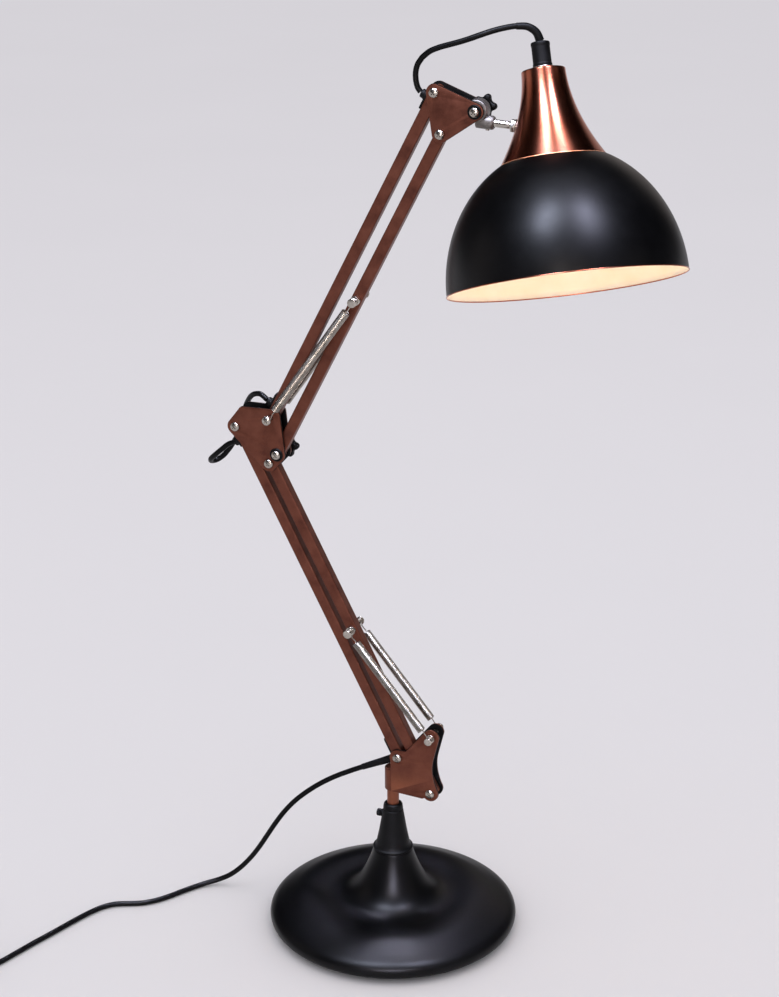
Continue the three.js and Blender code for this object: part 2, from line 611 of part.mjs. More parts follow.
function buildShade(shade) {
  const neckWall = shell(steps(-NECK_TOP, NECK_FOOT - GAP, 6), neckRadius, SHADE_WALL);
  const capTop = NECK_TOP;
  const lid = turned([
    [LEAD_HOLE_RADIUS, capTop - SHADE_WALL],
    [NECK_TOP_RADIUS - SHADE_WALL / 2, capTop - SHADE_WALL],
    [NECK_TOP_RADIUS - SHADE_WALL / 2, capTop],
    [LEAD_HOLE_RADIUS, capTop],
    [LEAD_HOLE_RADIUS, capTop - SHADE_WALL],
  ], 36);
  const rodHole = rodZ(ROD_RADIUS + GAP, -12, 12, 20).rotateY(Math.PI / 2);
  rodHole.rotateY(THREE.MathUtils.degToRad(90 - SHADE_ANGLE));
  rodHole.translate(-NECK_MID_RADIUS, 0, 0);
  const neck = cut(join(turned(neckWall, 36), lid), rodHole);
  add(shade, 'shade_neck', neck, COPPER);
  const domeStart = NECK_FOOT + GAP;
  const around = steps(0, 1, 7).map((t) => domeStart + (SHADE_MOUTH - domeStart) * t ** 1.25);
  add(shade, 'shade_dome', turned(shell(around, domeRadius, SHADE_WALL), 44), BLACK_PAINT);

  const holderTop = NECK_TOP - SHADE_WALL - GAP;
  const holderEnd = holderTop - HOLDER_LENGTH;
  const socketRadius = BULB_CAP_RADIUS + GAP + 0.4;
  const holder = turned([
    [0, holderTop],
    [HOLDER_RADIUS * 0.6, holderTop],
    [HOLDER_RADIUS, holderTop - 8],
    [HOLDER_RADIUS, holderEnd],
    [socketRadius, holderEnd],
    [socketRadius, holderEnd + HOLDER_SOCKET_DEPTH],
    [0, holderEnd + HOLDER_SOCKET_DEPTH],
  ].reverse(), 32);
  add(shade, 'lampholder', holder, BLACK_PLASTIC);
  const capEnd = holderEnd - BULB_CAP_SHOWING;
  const capInside = holderEnd + HOLDER_SOCKET_DEPTH - GAP;
  add(shade, 'bulb_cap', rodZ(BULB_CAP_RADIUS, capEnd, capInside, 24), NICKEL);
  const glassTop = capEnd - GAP;
  const ballMiddle = glassTop - BULB_NECK_LENGTH - BULB_RADIUS * 0.8;
  const ball = (radius) => steps(0, Math.PI * 0.78, 8).map((a) => [
    radius * Math.sin(a),
    ballMiddle - radius * Math.cos(a),
  ]);
  const inside = [...ball(BULB_RADIUS - BULB_WALL), [BULB_CAP_RADIUS - BULB_WALL, glassTop]];
  const bulb = [...ball(BULB_RADIUS), [BULB_CAP_RADIUS, glassTop], ...inside.reverse()];
  add(shade, 'bulb_glass', turned(bulb, 24), OPAL_GLASS);

  const glandFoot = NECK_TOP + GAP;
  const ringTop = glandFoot + GLAND_RING_THICKNESS;
  add(shade, 'gland_ring', rodZ(GLAND_RING_RADIUS, glandFoot, ringTop, 28), NICKEL);
  const glandBottom = ringTop + GAP;
  const gland = turned([
    [0, glandBottom],
    [GLAND_RADIUS, glandBottom],
    [GLAND_RADIUS, glandBottom + GLAND_HEIGHT * 0.7],
    [GLAND_RADIUS * 0.8, glandBottom + GLAND_HEIGHT],
    [0, glandBottom + GLAND_HEIGHT],
  ], 24);
  add(shade, 'cable_gland', gland, BLACK_PLASTIC);
}

function buildRod(shade) {
  const rod = rodZ(ROD_RADIUS, 2, ROD_REACH + 4, 20).rotateY(Math.PI / 2);
  add(shade, 'shade_rod', rod, NICKEL);
  const nut = cut(
    rodZ(ROD_RADIUS + 2.6, ROD_REACH - 5, ROD_REACH - 1.6, 6),
    rodZ(ROD_RADIUS + GAP, 0, 60, 20),
  ).rotateY(Math.PI / 2);
  add(shade, 'rod_nut', nut, NICKEL);
}

// ---------------------------------------------------------------- cords
const CORD_SIDES = 8;
const CORD_STEP = CORD_DIAMETER * 2.5;

// power lead from the lower arm's grommet down to the floor and away to its coil
const POWER_ROUTE = [
  [-2.7, 0, 167.6], [-10, 0, 164], [-18, 0, 160.2], [-30, 0, 154.3], [-44, 0, 147],
  [-58, 0, 139], [-71.5, 0, 129.9], [-85, 0, 119], [-98, 0, 106.5], [-109, 0, 93],
  [-118, 0, 79.5], [-127, 0.5, 64.5], [-136, 1, 49.5], [-146, 2, 35], [-157, 2.5, 22],
  [-168, 2.5, 12], [-179, 0, 6], [-189, -6, FLOOR_CORD_HEIGHT + 1],
  [-197.5, -15, FLOOR_CORD_HEIGHT], [-205.5, -27, FLOOR_CORD_HEIGHT],
  [-213.5, -40, FLOOR_CORD_HEIGHT], [-222, -51, FLOOR_CORD_HEIGHT],
  [-232, -59.5, FLOOR_CORD_HEIGHT], [-244, -65, FLOOR_CORD_HEIGHT],
  [-255, -70, FLOOR_CORD_HEIGHT], [-264, -79, FLOOR_CORD_HEIGHT],
  [-271, -92, FLOOR_CORD_HEIGHT], [-277, -107, FLOOR_CORD_HEIGHT],
  [-283, -124, FLOOR_CORD_HEIGHT], [-289, -141, FLOOR_CORD_HEIGHT],
  [-296, -160, FLOOR_CORD_HEIGHT], [-302, -178, FLOOR_CORD_HEIGHT],
  [-308.5, -197, FLOOR_CORD_HEIGHT], [-316.2, -215.5, FLOOR_CORD_HEIGHT],
];
const COIL_PLACE = [-353, -220];

// end of the power lead, from the coil to the plug
const TAIL_ROUTE = [
  [-384.3, -200.3, 10.5], [-385, -194, 9.5], [-386.5, -187, 8], [-388.2, -180.5, 7],
];
const PLUG_PLACE = [-389.3, -175.5];
const PLUG_LEAN = 8;                // degrees the plug is turned from +Y towards -X
// distance from the lead, half width and half thickness
const PLUG_SECTIONS = [
  [0, 3.6, 3.6], [20, 4.6, 4.6], [24, 8, 5.4], [34, 15, 6.4], [50, 17, 6.7], [52, 16, 6],
];
const PIN_OFFSET = 9.3;
const PIN_RADIUS = 2;
const PIN_LENGTH = 19;

// slack between the two arms, behind the elbow plates
// from the upper pivot of the lower left bar
const ELBOW_ROUTE = [
  [-3.88, 0, -17.53], [-10.18, -0.3, -20.23], [-17.18, -0.3, -26.13], [-24.08, 0.6, -32.43],
  [-29.98, 4, -38.13], [-31.98, 9.8, -42.33], [-28.88, 15, -42.53], [-23.38, 17.2, -38.33],
  [-17.28, 17.9, -30.73], [-11.18, 18, -20.83], [-6.58, 18, -10.33], [-3.18, 17.6, 0.17],
  [-0.68, 16.8, 10.07], [3.12, 14.4, 17.47], [8.12, 9.8, 23.67], [13.92, 5.6, 27.67],
  [20.52, 2.5, 29.07], [27.62, 0.2, 25.57],
];

// slack between the upper arm and the shade's gland
// from the upper pivot of the upper left bar
const HEAD_ROUTE = [
  [-14.27, 0, -1.77], [-16.77, 0, 1.73], [-18.37, 0, 7.63], [-18.57, 0, 14.23],
  [-16.97, 0, 20.43], [-13.07, 0, 26.43], [-6.97, 0.5, 31.53], [0.93, 1, 35.13],
  [10.13, 1.5, 38.03], [19.23, 2.2, 40.83], [27.43, 3.2, 43.73], [35.33, 4.8, 46.73],
  [43.43, 7.2, 49.63], [52.13, 10.6, 52.03], [61.83, 14.6, 53.63], [70.23, 18.4, 53.03],
  [76.63, 21.1, 48.63], [79.73, 22.3, 41.83],
];

function cordAlong(name, route, [startX, startZ] = [0, 0]) {
  const points = route.map(([x, y, z]) => [x + startX, y, z + startZ]);
  const path = new THREE.CatmullRomCurve3(points.map((p) => new THREE.Vector3(...p)));
  const stepCount = Math.max(2, Math.round(path.getLength() / CORD_STEP));
  const options = { steps: stepCount, bevelEnabled: false, extrudePath: path };
  const section = roundOutline(CORD_SIDES, () => CORD_DIAMETER / 2);
  add(lamp, name, new THREE.ExtrudeGeometry(section, options), BLACK_PVC);
}

// flat two-pin plug with a tapered relief, lying on the floor; +Z of its own runs to the pins
function buildPlug() {
  const sides = 16;
  const positions = [];
  const ring = steps(0, Math.PI * 2, sides).slice(0, -1);
  for (const [height, halfWidth, halfThickness] of PLUG_SECTIONS) {
    for (const angle of ring) {
      const square = 1 / Math.hypot(Math.cos(angle), Math.sin(angle) ** 3) ** 0.3;
      positions.push(halfWidth * Math.cos(angle) * square);
      positions.push(Math.max(-1, Math.min(1, Math.sin(angle) * square)) * halfThickness, height);
    }
  }
  const index = [];
  for (let level = 0; level < PLUG_SECTIONS.length - 1; level += 1) {
    for (let side = 0; side < sides; side += 1) {
      const a = level * sides + side;
      const b = level * sides + ((side + 1) % sides);
      index.push(a, b, b + sides, a, b + sides, a + sides);
    }
  }
  const last = (PLUG_SECTIONS.length - 1) * sides;
  for (let side = 1; side < sides - 1; side += 1) {
    index.push(0, side + 1, side, last, last + side, last + side + 1);
  }
  const body = new THREE.BufferGeometry();
  body.setAttribute('position', new THREE.BufferAttribute(new Float32Array(positions), 3));
  body.setIndex(index);
  const bodyLength = PLUG_SECTIONS.at(-1)[0];
  const pins = [-PIN_OFFSET, PIN_OFFSET].map((x) => (
    rodZ(PIN_RADIUS, bodyLength - 1, bodyLength + PIN_LENGTH, 12).translate(x, 0, 0)
  ));
  const plug = join(body, ...pins).rotateX(-Math.PI / 2);
  plug.rotateZ(THREE.MathUtils.degToRad(PLUG_LEAN));
  const halfThickness = Math.max(...PLUG_SECTIONS.map((section) => section[2]));
  add(lamp, 'mains_plug', plug.translate(...PLUG_PLACE, halfThickness + 0.2), BLACK_PVC);
}

function buildCoil() {
  const inner = COIL_RADIUS - COIL_WIDTH / 2;
  const outer = COIL_RADIUS + COIL_WIDTH / 2;
  const corner = CORD_DIAMETER / 2;
  const coil = turned([
    [inner, corner],
    [inner + corner, 0],
    [outer - corner, 0],
    [outer, corner],
    [outer, COIL_HEIGHT - corner],
    [outer - corner, COIL_HEIGHT],
    [inner + corner, COIL_HEIGHT],
    [inner, COIL_HEIGHT - corner],
    [inner, corner],
  ], 32);
  const floorClearance = FLOOR_CORD_HEIGHT - corner;
  add(lamp, 'cord_coil', coil.translate(...COIL_PLACE, floorClearance), BLACK_PVC);
}

// ---------------------------------------------------------------- assembly
buildBase();
buildLowerBracket();

const lowerRightPivot = plus(LOWER_PIVOT, LOWER_LINK);
const elbowPivot = along(LOWER_PIVOT, LOWER_LEAN, LOWER_BAR_LENGTH);
const upperLeftPivot = plus(elbowPivot, UPPER_OFFSET);
const upperRightPivot = plus(upperLeftPivot, UPPER_LINK);
const headPivot = along(upperLeftPivot, UPPER_LEAN, UPPER_BAR_LENGTH);
const tiltPivot = plus(headPivot, HEAD_OFFSET);

leadBar(frameAt(lamp, ...LOWER_PIVOT, LOWER_LEAN), 'lower_left', LOWER_BAR_LENGTH);
springBar(frameAt(lamp, ...lowerRightPivot, LOWER_LEAN), 'lower_right', LOWER_BAR_LENGTH);
buildElbow(frameAt(lamp, ...elbowPivot));
leadBar(frameAt(lamp, ...upperLeftPivot, UPPER_LEAN), 'upper_left', UPPER_BAR_LENGTH);
springBar(frameAt(lamp, ...upperRightPivot, UPPER_LEAN), 'upper_right', UPPER_BAR_LENGTH);
buildHeadBracket(frameAt(lamp, ...headPivot));

const lowerAnchor = along(lowerRightPivot, LOWER_LEAN, LOWER_BAR_LENGTH * ANCHOR_FRACTION);
const upperAnchor = along(upperRightPivot, UPPER_LEAN, UPPER_BAR_LENGTH * ANCHOR_FRACTION);
for (const [side, sign] of [['front', -1], ['rear', 1]]) {
  spring(`lower_spring_${side}`, SPRING_STUD, lowerAnchor, sign);
  spring(`upper_spring_${side}`, upperLeftPivot, upperAnchor, sign);
}

const tilt = frameAt(lamp, ...tiltPivot, ROD_SAG);
buildKnuckle(tilt);
const rodFrame = new THREE.Group();
rodFrame.position.set(0, 0, -ROD_DROP);
tilt.add(rodFrame);
buildRod(rodFrame);
const roll = new THREE.Group();
roll.rotation.x = -THREE.MathUtils.degToRad(SHADE_ROLL);
roll.position.set(ROD_REACH, 0, 0);
rodFrame.add(roll);
const shade = new THREE.Group();
shade.rotation.y = THREE.MathUtils.degToRad(SHADE_ANGLE - 90);
roll.add(shade);
const shadeAxis = new THREE.Group();
shadeAxis.position.set(NECK_MID_RADIUS, 0, 0);
shade.add(shadeAxis);
buildShade(shadeAxis);

cordAlong('power_cord', POWER_ROUTE);
cordAlong('cord_tail', TAIL_ROUTE);
cordAlong('elbow_cord_loop', ELBOW_ROUTE, elbowPivot);
cordAlong('head_cord_loop', HEAD_ROUTE, headPivot);
buildCoil();
buildPlug();

export default lamp;
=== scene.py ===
# Swing arm desk lamp: the finished pieces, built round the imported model. Metres, +Z up.
import json
import math

import bmesh
import bpy
from mathutils import Matrix, Vector
from mathutils.geometry import tessellate_polygon


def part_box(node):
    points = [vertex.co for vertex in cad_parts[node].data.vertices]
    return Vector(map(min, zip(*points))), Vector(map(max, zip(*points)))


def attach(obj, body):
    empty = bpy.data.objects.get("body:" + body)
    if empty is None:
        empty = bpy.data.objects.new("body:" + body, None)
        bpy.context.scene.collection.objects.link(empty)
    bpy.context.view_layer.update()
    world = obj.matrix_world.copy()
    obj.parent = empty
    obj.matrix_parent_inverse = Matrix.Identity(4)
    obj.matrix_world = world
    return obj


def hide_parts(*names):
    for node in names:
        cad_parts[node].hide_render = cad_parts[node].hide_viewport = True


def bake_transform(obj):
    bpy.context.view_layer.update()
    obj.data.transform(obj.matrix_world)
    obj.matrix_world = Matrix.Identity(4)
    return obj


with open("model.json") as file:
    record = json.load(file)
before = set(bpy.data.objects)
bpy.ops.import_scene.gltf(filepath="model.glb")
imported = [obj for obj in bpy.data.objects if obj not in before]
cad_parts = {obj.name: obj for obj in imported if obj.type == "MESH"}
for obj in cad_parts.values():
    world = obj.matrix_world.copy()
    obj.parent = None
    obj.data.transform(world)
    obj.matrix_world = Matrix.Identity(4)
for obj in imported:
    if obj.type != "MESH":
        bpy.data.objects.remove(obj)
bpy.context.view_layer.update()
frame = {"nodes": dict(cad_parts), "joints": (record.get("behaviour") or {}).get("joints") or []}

MM = 0.001
TURN = 2 * math.pi

# ------------------------------------------------------------------ camera
CAMERA_PLACE = (0.64077, -1.77474, 1.1425)
CAMERA_AZIMUTH = 19.954             # degrees round from +Y towards -X
CAMERA_DIP = 20.876                 # degrees below level
CAMERA_LENS = 83.2                  # millimetres on a 36 mm long side


def make_camera():
    data = bpy.data.cameras.new("camera")
    data.lens = CAMERA_LENS
    data.clip_end = 60
    camera = bpy.data.objects.new("camera", data)
    camera.location = CAMERA_PLACE
    camera.rotation_euler = (math.radians(90 - CAMERA_DIP), 0, math.radians(CAMERA_AZIMUTH))
    bpy.context.scene.collection.objects.link(camera)
    bpy.context.scene.camera = camera


# ------------------------------------------------------------------ places, from the frame
JOINTS = {joint["name"]: joint for joint in frame["joints"]}


def pivot(joint):
    return Vector(JOINTS[joint]["pos_m"])


def middle(node):
    low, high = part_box(node)
    return (low + high) / 2


LOWER_LEFT = pivot("lower_arm_tilt")
LOWER_RIGHT = pivot("lower_right_tilt")
ELBOW_LEFT = pivot("elbow_level")
ELBOW_RIGHT = ELBOW_LEFT + LOWER_RIGHT - LOWER_LEFT
UPPER_LEFT = pivot("upper_arm_tilt")
UPPER_RIGHT = pivot("upper_right_tilt")
HEAD_LEFT = pivot("head_level")
HEAD_RIGHT = HEAD_LEFT + UPPER_RIGHT - UPPER_LEFT
TILT = pivot("head_tilt")
ROD_FOOT = pivot("shade_swivel")
ROD_AXIS = Vector(JOINTS["shade_swivel"]["axis"])
STUD = middle("lower_spring_stud_front")
STUD.y = 0
LOWER_ANCHOR = middle("lower_right_anchor_pin")
UPPER_ANCHOR = middle("upper_right_anchor_pin")
BASE_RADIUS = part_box("base_cover")[1].x / MM
NECK_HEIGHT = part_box("base_cover")[1].z / MM


def placed(origin, z_axis=(0, 0, 1), x_hint=(1, 0, 0)):
    """Frame at origin with its Z along z_axis and its X as near x_hint as it can be."""
    z = Vector(z_axis).normalized()
    y = z.cross(Vector(x_hint)).normalized()
    x = y.cross(z)
    return Matrix.Translation(origin) @ Matrix((x, y, z)).transposed().to_4x4()


def bar_frame(foot, top):
    return placed(foot, top - foot, Vector((0, 1, 0)).cross(top - foot))


# ------------------------------------------------------------------ shapes, in millimetres
def steps(start, end, count):
    return [start + (end - start) * i / count for i in range(count + 1)]


def arc(x, y, radius, start, end, count=10):
    """Points on a circle between two angles in degrees."""
    angles = [math.radians(a) for a in steps(start, end, count)]
    return [(x + radius * math.cos(a), y + radius * math.sin(a)) for a in angles]


def circle(x, y, radius, count=32):
    return arc(x, y, radius, 0, 360, count)[:-1]


def bend(start, control, end, count=12):
    """Points from start to end on a curve that leans towards control."""
    a, b, c = Vector(start), Vector(control), Vector(end)
    return [tuple((1 - t) ** 2 * a + 2 * t * (1 - t) * b + t * t * c) for t in steps(0, 1, count)]


def eased(points, radius, count=4, closed=False):
    """The same outline with every corner rounded by about that radius."""
    made = []
    last = len(points) - 1
    for i, point in enumerate(points):
        if not closed and i in (0, last):
            made.append(point)
            continue
        corner = Vector(point)
        before = Vector(points[i - 1]) - corner
        after = Vector(points[(i + 1) % len(points)]) - corner
        start = corner + before.normalized() * min(radius, before.length * 0.48)
        end = corner + after.normalized() * min(radius, after.length * 0.48)
        made += bend(start, corner, end, count)
    return made


def skin(loops, closes=False):
    """Joins loops of points, all of one count or a single point, into a closed body."""
    shape = bmesh.new()
    rings = [[shape.verts.new(Vector(p) * MM) for p in loop] for loop in loops]
    count = max(len(ring) for ring in rings)
    following = rings[1:] + (rings[:1] if closes else [])
    for ring, after in zip(rings, following):
        for i in range(count):
            j = (i + 1) % count
            corners = [ring[i % len(ring)], ring[j % len(ring)]]
            corners += [after[j % len(after)], after[i % len(after)]]
            corners = list(dict.fromkeys(corners))
            if len(corners) > 2:
                shape.faces.new(corners)
    if not closes:
        for ring in (rings[0], rings[-1]):
            if len(ring) > 2:
                shape.faces.new(ring)
    return shape


def lathe(profile, sides=64, closes=False):
    """Turned body about Z from radius and height pairs."""
    angles = steps(0, TURN, sides)[:-1]
    loops = []
    for radius, height in profile:
        if radius < 1e-6:
            loops.append([(0, 0, height)])
        else:
            loops.append([(radius * math.cos(a), radius * math.sin(a), height) for a in angles])
    return skin(loops, closes)


def cylinder(radius, start, end, sides=24):
    return lathe([(0, start), (radius, start), (radius, end), (0, end)], sides)


def inset(outline, amount):
    """The outline moved inwards; outlines run anticlockwise."""
    made = []
    for i, point in enumerate(outline):
        here = Vector(point)
        before = (here - Vector(outline[i - 1])).normalized()
        after = (Vector(outline[(i + 1) % len(outline)]) - here).normalized()
        along = before + after
        inward = Vector((-along.y, along.x)).normalized()
        lean = max(0.5, inward.dot(Vector((-before.y, before.x))))
        made.append(tuple(here + inward * amount / lean))
    return made


def edges_eased(front, back, ease):
    """Levels of a sheet from front to back with rounded edges: depth and inset."""
    near = [(front, ease), (front + ease * 0.3, ease * 0.3), (front + ease, 0)]
    far = [(back - ease, 0), (back - ease * 0.3, ease * 0.3), (back, ease)]
    return near + far


def stack(outline, levels, holes=()):
    """Body from one flat outline repeated at levels of depth and inset, with round holes."""
    shape = bmesh.new()
    rims = [[], []]
    loops = [lambda amount: inset(outline, amount)]
    for x, y, radius in holes:
        loops.append(lambda amount, x=x, y=y, r=radius: circle(x, y, r + amount)[::-1])
    for loop in loops:
        rings = []
        for depth, amount in levels:
            points = [Vector((px, py, depth)) * MM for px, py in loop(amount)]
            rings.append([shape.verts.new(p) for p in points])
        for ring, after in zip(rings, rings[1:]):
            for i in range(len(ring)):
                j = (i + 1) % len(ring)
                shape.faces.new((ring[i], ring[j], after[j], after[i]))
        rims[0].append(rings[0])
        rims[1].append(rings[-1])
    for rim in rims:
        corners = [vert for ring in rim for vert in ring]
        for triangle in tessellate_polygon([[v.co for v in ring] for ring in rim]):
            if len(set(triangle)) == 3:
                shape.faces.new([corners[i] for i in triangle])
    return shape


def turn(shape, *moves):
    """Moves a shape by matrices whose translations are in millimetres, first to last."""
    for move in moves:
        move = move.copy()
        move.translation *= MM
        bmesh.ops.transform(shape, matrix=move, verts=shape.verts)
    return shape


def shift(x, y, z):
    return Matrix.Translation((x, y, z))


def rotate(degrees, axis):
    return Matrix.Rotation(math.radians(degrees), 4, axis)


UPRIGHT = rotate(90, "X")           # a flat outline stands up in X and Z, its depth towards -Y
ACROSS = rotate(-90, "X")           # a turned body lies along +Y


def merged(operation, first, *others):
    """first with the others cut away or joined on, as one closed body."""
    for other in others:
        made = []
        for shape in (first, other):
            bmesh.ops.recalc_face_normals(shape, faces=shape.faces)
            mesh = bpy.data.meshes.new("tool")
            shape.to_mesh(mesh)
            shape.free()
            made.append(bpy.data.objects.new("tool", mesh))
            bpy.context.scene.collection.objects.link(made[-1])
        modifier = made[0].modifiers.new("merge", "BOOLEAN")
        modifier.operation = operation
        modifier.solver = "EXACT"
        modifier.object = made[1]
        bpy.context.view_layer.update()
        first = bmesh.new()
        first.from_object(made[0], bpy.context.evaluated_depsgraph_get())
        for obj in made:
            bpy.data.meshes.remove(obj.data)
    bmesh.ops.remove_doubles(first, verts=first.verts, dist=1e-6)
    return first


def catmull(points, per_span=6):
    """Points on a centripetal curve through the given ones."""
    path = [Vector(p) for p in points]
    path = [2 * path[0] - path[1], *path, 2 * path[-1] - path[-2]]
    made = []
    for a, b, c, d in zip(path, path[1:], path[2:], path[3:]):
        ta = 0
        tb = ta + (b - a).length ** 0.5
        tc = tb + (c - b).length ** 0.5
        td = tc + (d - c).length ** 0.5
        for i in range(per_span):
            t = tb + (tc - tb) * i / per_span
            ab = a.lerp(b, (t - ta) / (tb - ta))
            bc = b.lerp(c, (t - tb) / (tc - tb))
            cd = c.lerp(d, (t - tc) / (td - tc))
            abc = ab.lerp(bc, (t - ta) / (tc - ta))
            bcd = bc.lerp(cd, (t - tb) / (td - tb))
            made.append(abc.lerp(bcd, (t - tb) / (tc - tb)))
    made.append(path[-2].copy())
    return made


def tube(points, radius, sides=12):
    """Round tube along points; radius is a number or a function of the share along it."""
    path = [Vector(p) for p in points]
    width = radius if callable(radius) else lambda share: radius
    side = (path[1] - path[0]).orthogonal()
    loops = []
    for i, point in enumerate(path):
        along = path[min(i + 1, len(path) - 1)] - path[max(i - 1, 0)]
        along.normalize()
        side = (side - along * side.dot(along)).normalized()
        up = along.cross(side)
        reach = width(i / (len(path) - 1))
        angles = steps(0, TURN, sides)[:-1]
        loops.append([point + (side * math.cos(a) + up * math.sin(a)) * reach for a in angles])
    return skin(loops)


# ------------------------------------------------------------------ finishes
def linear(code):
    """sRGB hex to the linear colour that shaders take."""
    parts = [int(code[i:i + 2], 16) / 255 for i in (1, 3, 5)]
    return (*[p / 12.92 if p <= 0.04045 else ((p + 0.055) / 1.055) ** 2.4 for p in parts], 1)


class Finish:
    """New material whose textures are laid out in the space of the piece it is on."""

    def __init__(self, name, **constants):
        self.material = bpy.data.materials.new(name)
        self.material.use_nodes = True
        self.tree = self.material.node_tree
        self.shader = self.tree.nodes["Principled BSDF"]
        for socket, value in constants.items():
            self.shader.inputs[socket.replace("_", " ")].default_value = value
        self.place = self.add("TexCoord").outputs["Object"]

    def wire(self, node, links):
        for socket, source in links.items():
            output = source.outputs[0] if isinstance(source, bpy.types.Node) else source
            self.tree.links.new(output, node.inputs[socket])

    def add(self, kind, settings=None, links=None):
        """Adds a node: capitalised settings are sockets, lower-case ones its own options."""
        node = self.tree.nodes.new("ShaderNode" + kind)
        for name, value in (settings or {}).items():
            if name[0].isupper():
                node.inputs[name].default_value = value
            else:
                setattr(node, name, value)
        self.wire(node, links or {})
        return node

    def mapped(self, **settings):
        return self.add("Mapping", settings, {"Vector": self.place})

    def noise(self, size, detail=2, roughness=0.5, place=None, distortion=0):
        """Noise with features about size millimetres across."""
        settings = {"Scale": 1 / (size * MM), "Detail": detail, "Roughness": roughness}
        settings["Distortion"] = distortion
        return self.add("TexNoise", settings, {"Vector": self.place if place is None else place})

    def tint(self, source, *stops):
        """Colours blended by source between positions and their sRGB codes."""
        node = self.add("ValToRGB", {}, {"Fac": source})
        elements = node.color_ramp.elements
        while len(elements) < len(stops):
            elements.new(0.5)
        for element, (position, code) in zip(elements, stops):
            element.position = position
            element.color = linear(code)
        return node

    def level(self, source, least, most, start=0.3, end=0.7):
        """Values from least to most while source goes from start to end."""
        settings = {"From Min": start, "From Max": end, "To Min": least, "To Max": most}
        return self.add("MapRange", settings, {"Value": source})

    def made(self, colour, roughness=None, relief=None, **links):
        """Wires the shader; relief is a height, its strength and its depth in millimetres."""
        links["Base Color"] = colour
        if roughness:
            links["Roughness"] = roughness
        if relief:
            height, strength, depth = relief
            settings = {"Strength": strength, "Distance": depth * MM}
            links["Normal"] = self.add("Bump", settings, {"Height": height})
        self.wire(self.shader, links)
        return self.material


def sprayed_satin_lacquer():
    # Sprayed satin lacquer: deep black with broad soft highlights, a faint orange peel
    # and slightly duller patches where hands have been.
    coat = Finish("sprayed_satin_lacquer", IOR=1.5, Specular_IOR_Level=0.16)
    hands = coat.noise(34, 5, 0.62)
    colour = coat.tint(hands, (0.35, "#050507"), (0.7, "#09090c"))
    return coat.made(colour, coat.level(hands, 0.34, 0.4, 0.35, 0.72), (coat.noise(2.2), 0.12, 0.2))


def cream_enamel():
    # Baked cream enamel inside the shade: warm, smooth and only half glossy, so that it
    # throws the lamp's light down without showing the bulb.
    coat = Finish("cream_enamel", IOR=1.5, Roughness=0.5)
    colour = coat.tint(coat.noise(22, 3), (0.3, "#f2e6d0"), (0.75, "#f8efdf"))
    return coat.made(colour, relief=(coat.noise(1.8), 0.08, 0.2))


def antique_copper_paint():
    # Brown copper metallic paint on steel: a warm satin with fine flake, darker clouds where
    # the coat lies thick and bright coppery wear along the edges.
    coat = Finish("antique_copper_paint", Metallic=0.55, Specular_IOR_Level=0.35)
    flake = coat.noise(0.7, 3, 0.7)
    cloud = coat.noise(16, 4, 0.6)
    flake_share = 0.35
    thickness = coat.add("Math", {"operation": "MULTIPLY_ADD"}, {0: flake, 2: cloud})
    thickness.inputs[1].default_value = flake_share
    paint = coat.tint(thickness, (0.45, "#55291c"), (0.66, "#6a3929"), (0.9, "#764332"))
    worn = coat.level(coat.add("NewGeometry").outputs["Pointiness"], 0, 0.35, 0.53, 0.6)
    colour = coat.add("MixRGB", {"Color2": linear("#b9714f")}, {"Fac": worn, "Color1": paint})
    return coat.made(colour, coat.level(cloud, 0.36, 0.5, 0.3, 0.75), (flake, 0.1, 0.2))


def spun_copper():
    # Copper plate on a spun aluminium neck: fine tool marks round the axis draw every
    # highlight out along it, from deep brown to a pink white.
    coat = Finish("spun_copper", Metallic=1, Anisotropic=0.8, Anisotropic_Rotation=0.25)
    tangent = coat.add("Tangent", {"direction_type": "RADIAL", "axis": "Z"})
    marks = coat.noise(0.5, 3, 0.6, coat.mapped(Scale=(0.02, 0.02, 1)))
    colour = coat.tint(coat.noise(18, 3), (0.3, "#a85c42"), (0.7, "#b8705a"))
    roughness = coat.level(marks, 0.262, 0.268)
    return coat.made(colour, roughness, (marks, 0.05, 0.01), Tangent=tangent)


def bright_nickel():
    # Nickel plate on turned steel: near mirror bright, with hairline scratches and a warm
    # grey tarnish that settles unevenly.
    coat = Finish("bright_nickel", Metallic=1)
    hair = coat.mapped(Scale=(4, 1, 1), Rotation=(0.4, 0.3, 0.8))
    scratch = coat.noise(1.4, 5, 0.7, hair)
    colour = coat.tint(coat.noise(7, 3), (0.3, "#a39c92"), (0.7, "#cfcac1"))
    return coat.made(colour, coat.level(scratch, 0.16, 0.34), (scratch, 0.06, 0.1))


def die_cast_zinc():
    # Tumbled die-cast zinc: dull grey with a fine sandy skin and lighter flow marks.
    coat = Finish("die_cast_zinc", Metallic=0.9)
    sand = coat.noise(0.6, 4, 0.7)
    colour = coat.tint(coat.noise(6, 3, distortion=1.2), (0.3, "#5f5b58"), (0.72, "#8f8b86"))
    return coat.made(colour, coat.level(sand, 0.4, 0.6), (sand, 0.25, 0.2))


def moulded_nylon():
    # Moulded black nylon: a spark-eroded grain that breaks highlights up, greyer where it
    # has been rubbed.
    coat = Finish("moulded_nylon", IOR=1.53, Specular_IOR_Level=0.14)
    rub = coat.noise(9, 4)
    colour = coat.tint(rub, (0.35, "#050506"), (0.75, "#0d0d0f"))
    return coat.made(colour, coat.level(rub, 0.42, 0.58), (coat.noise(0.5, 3, 0.6), 0.3, 0.2))


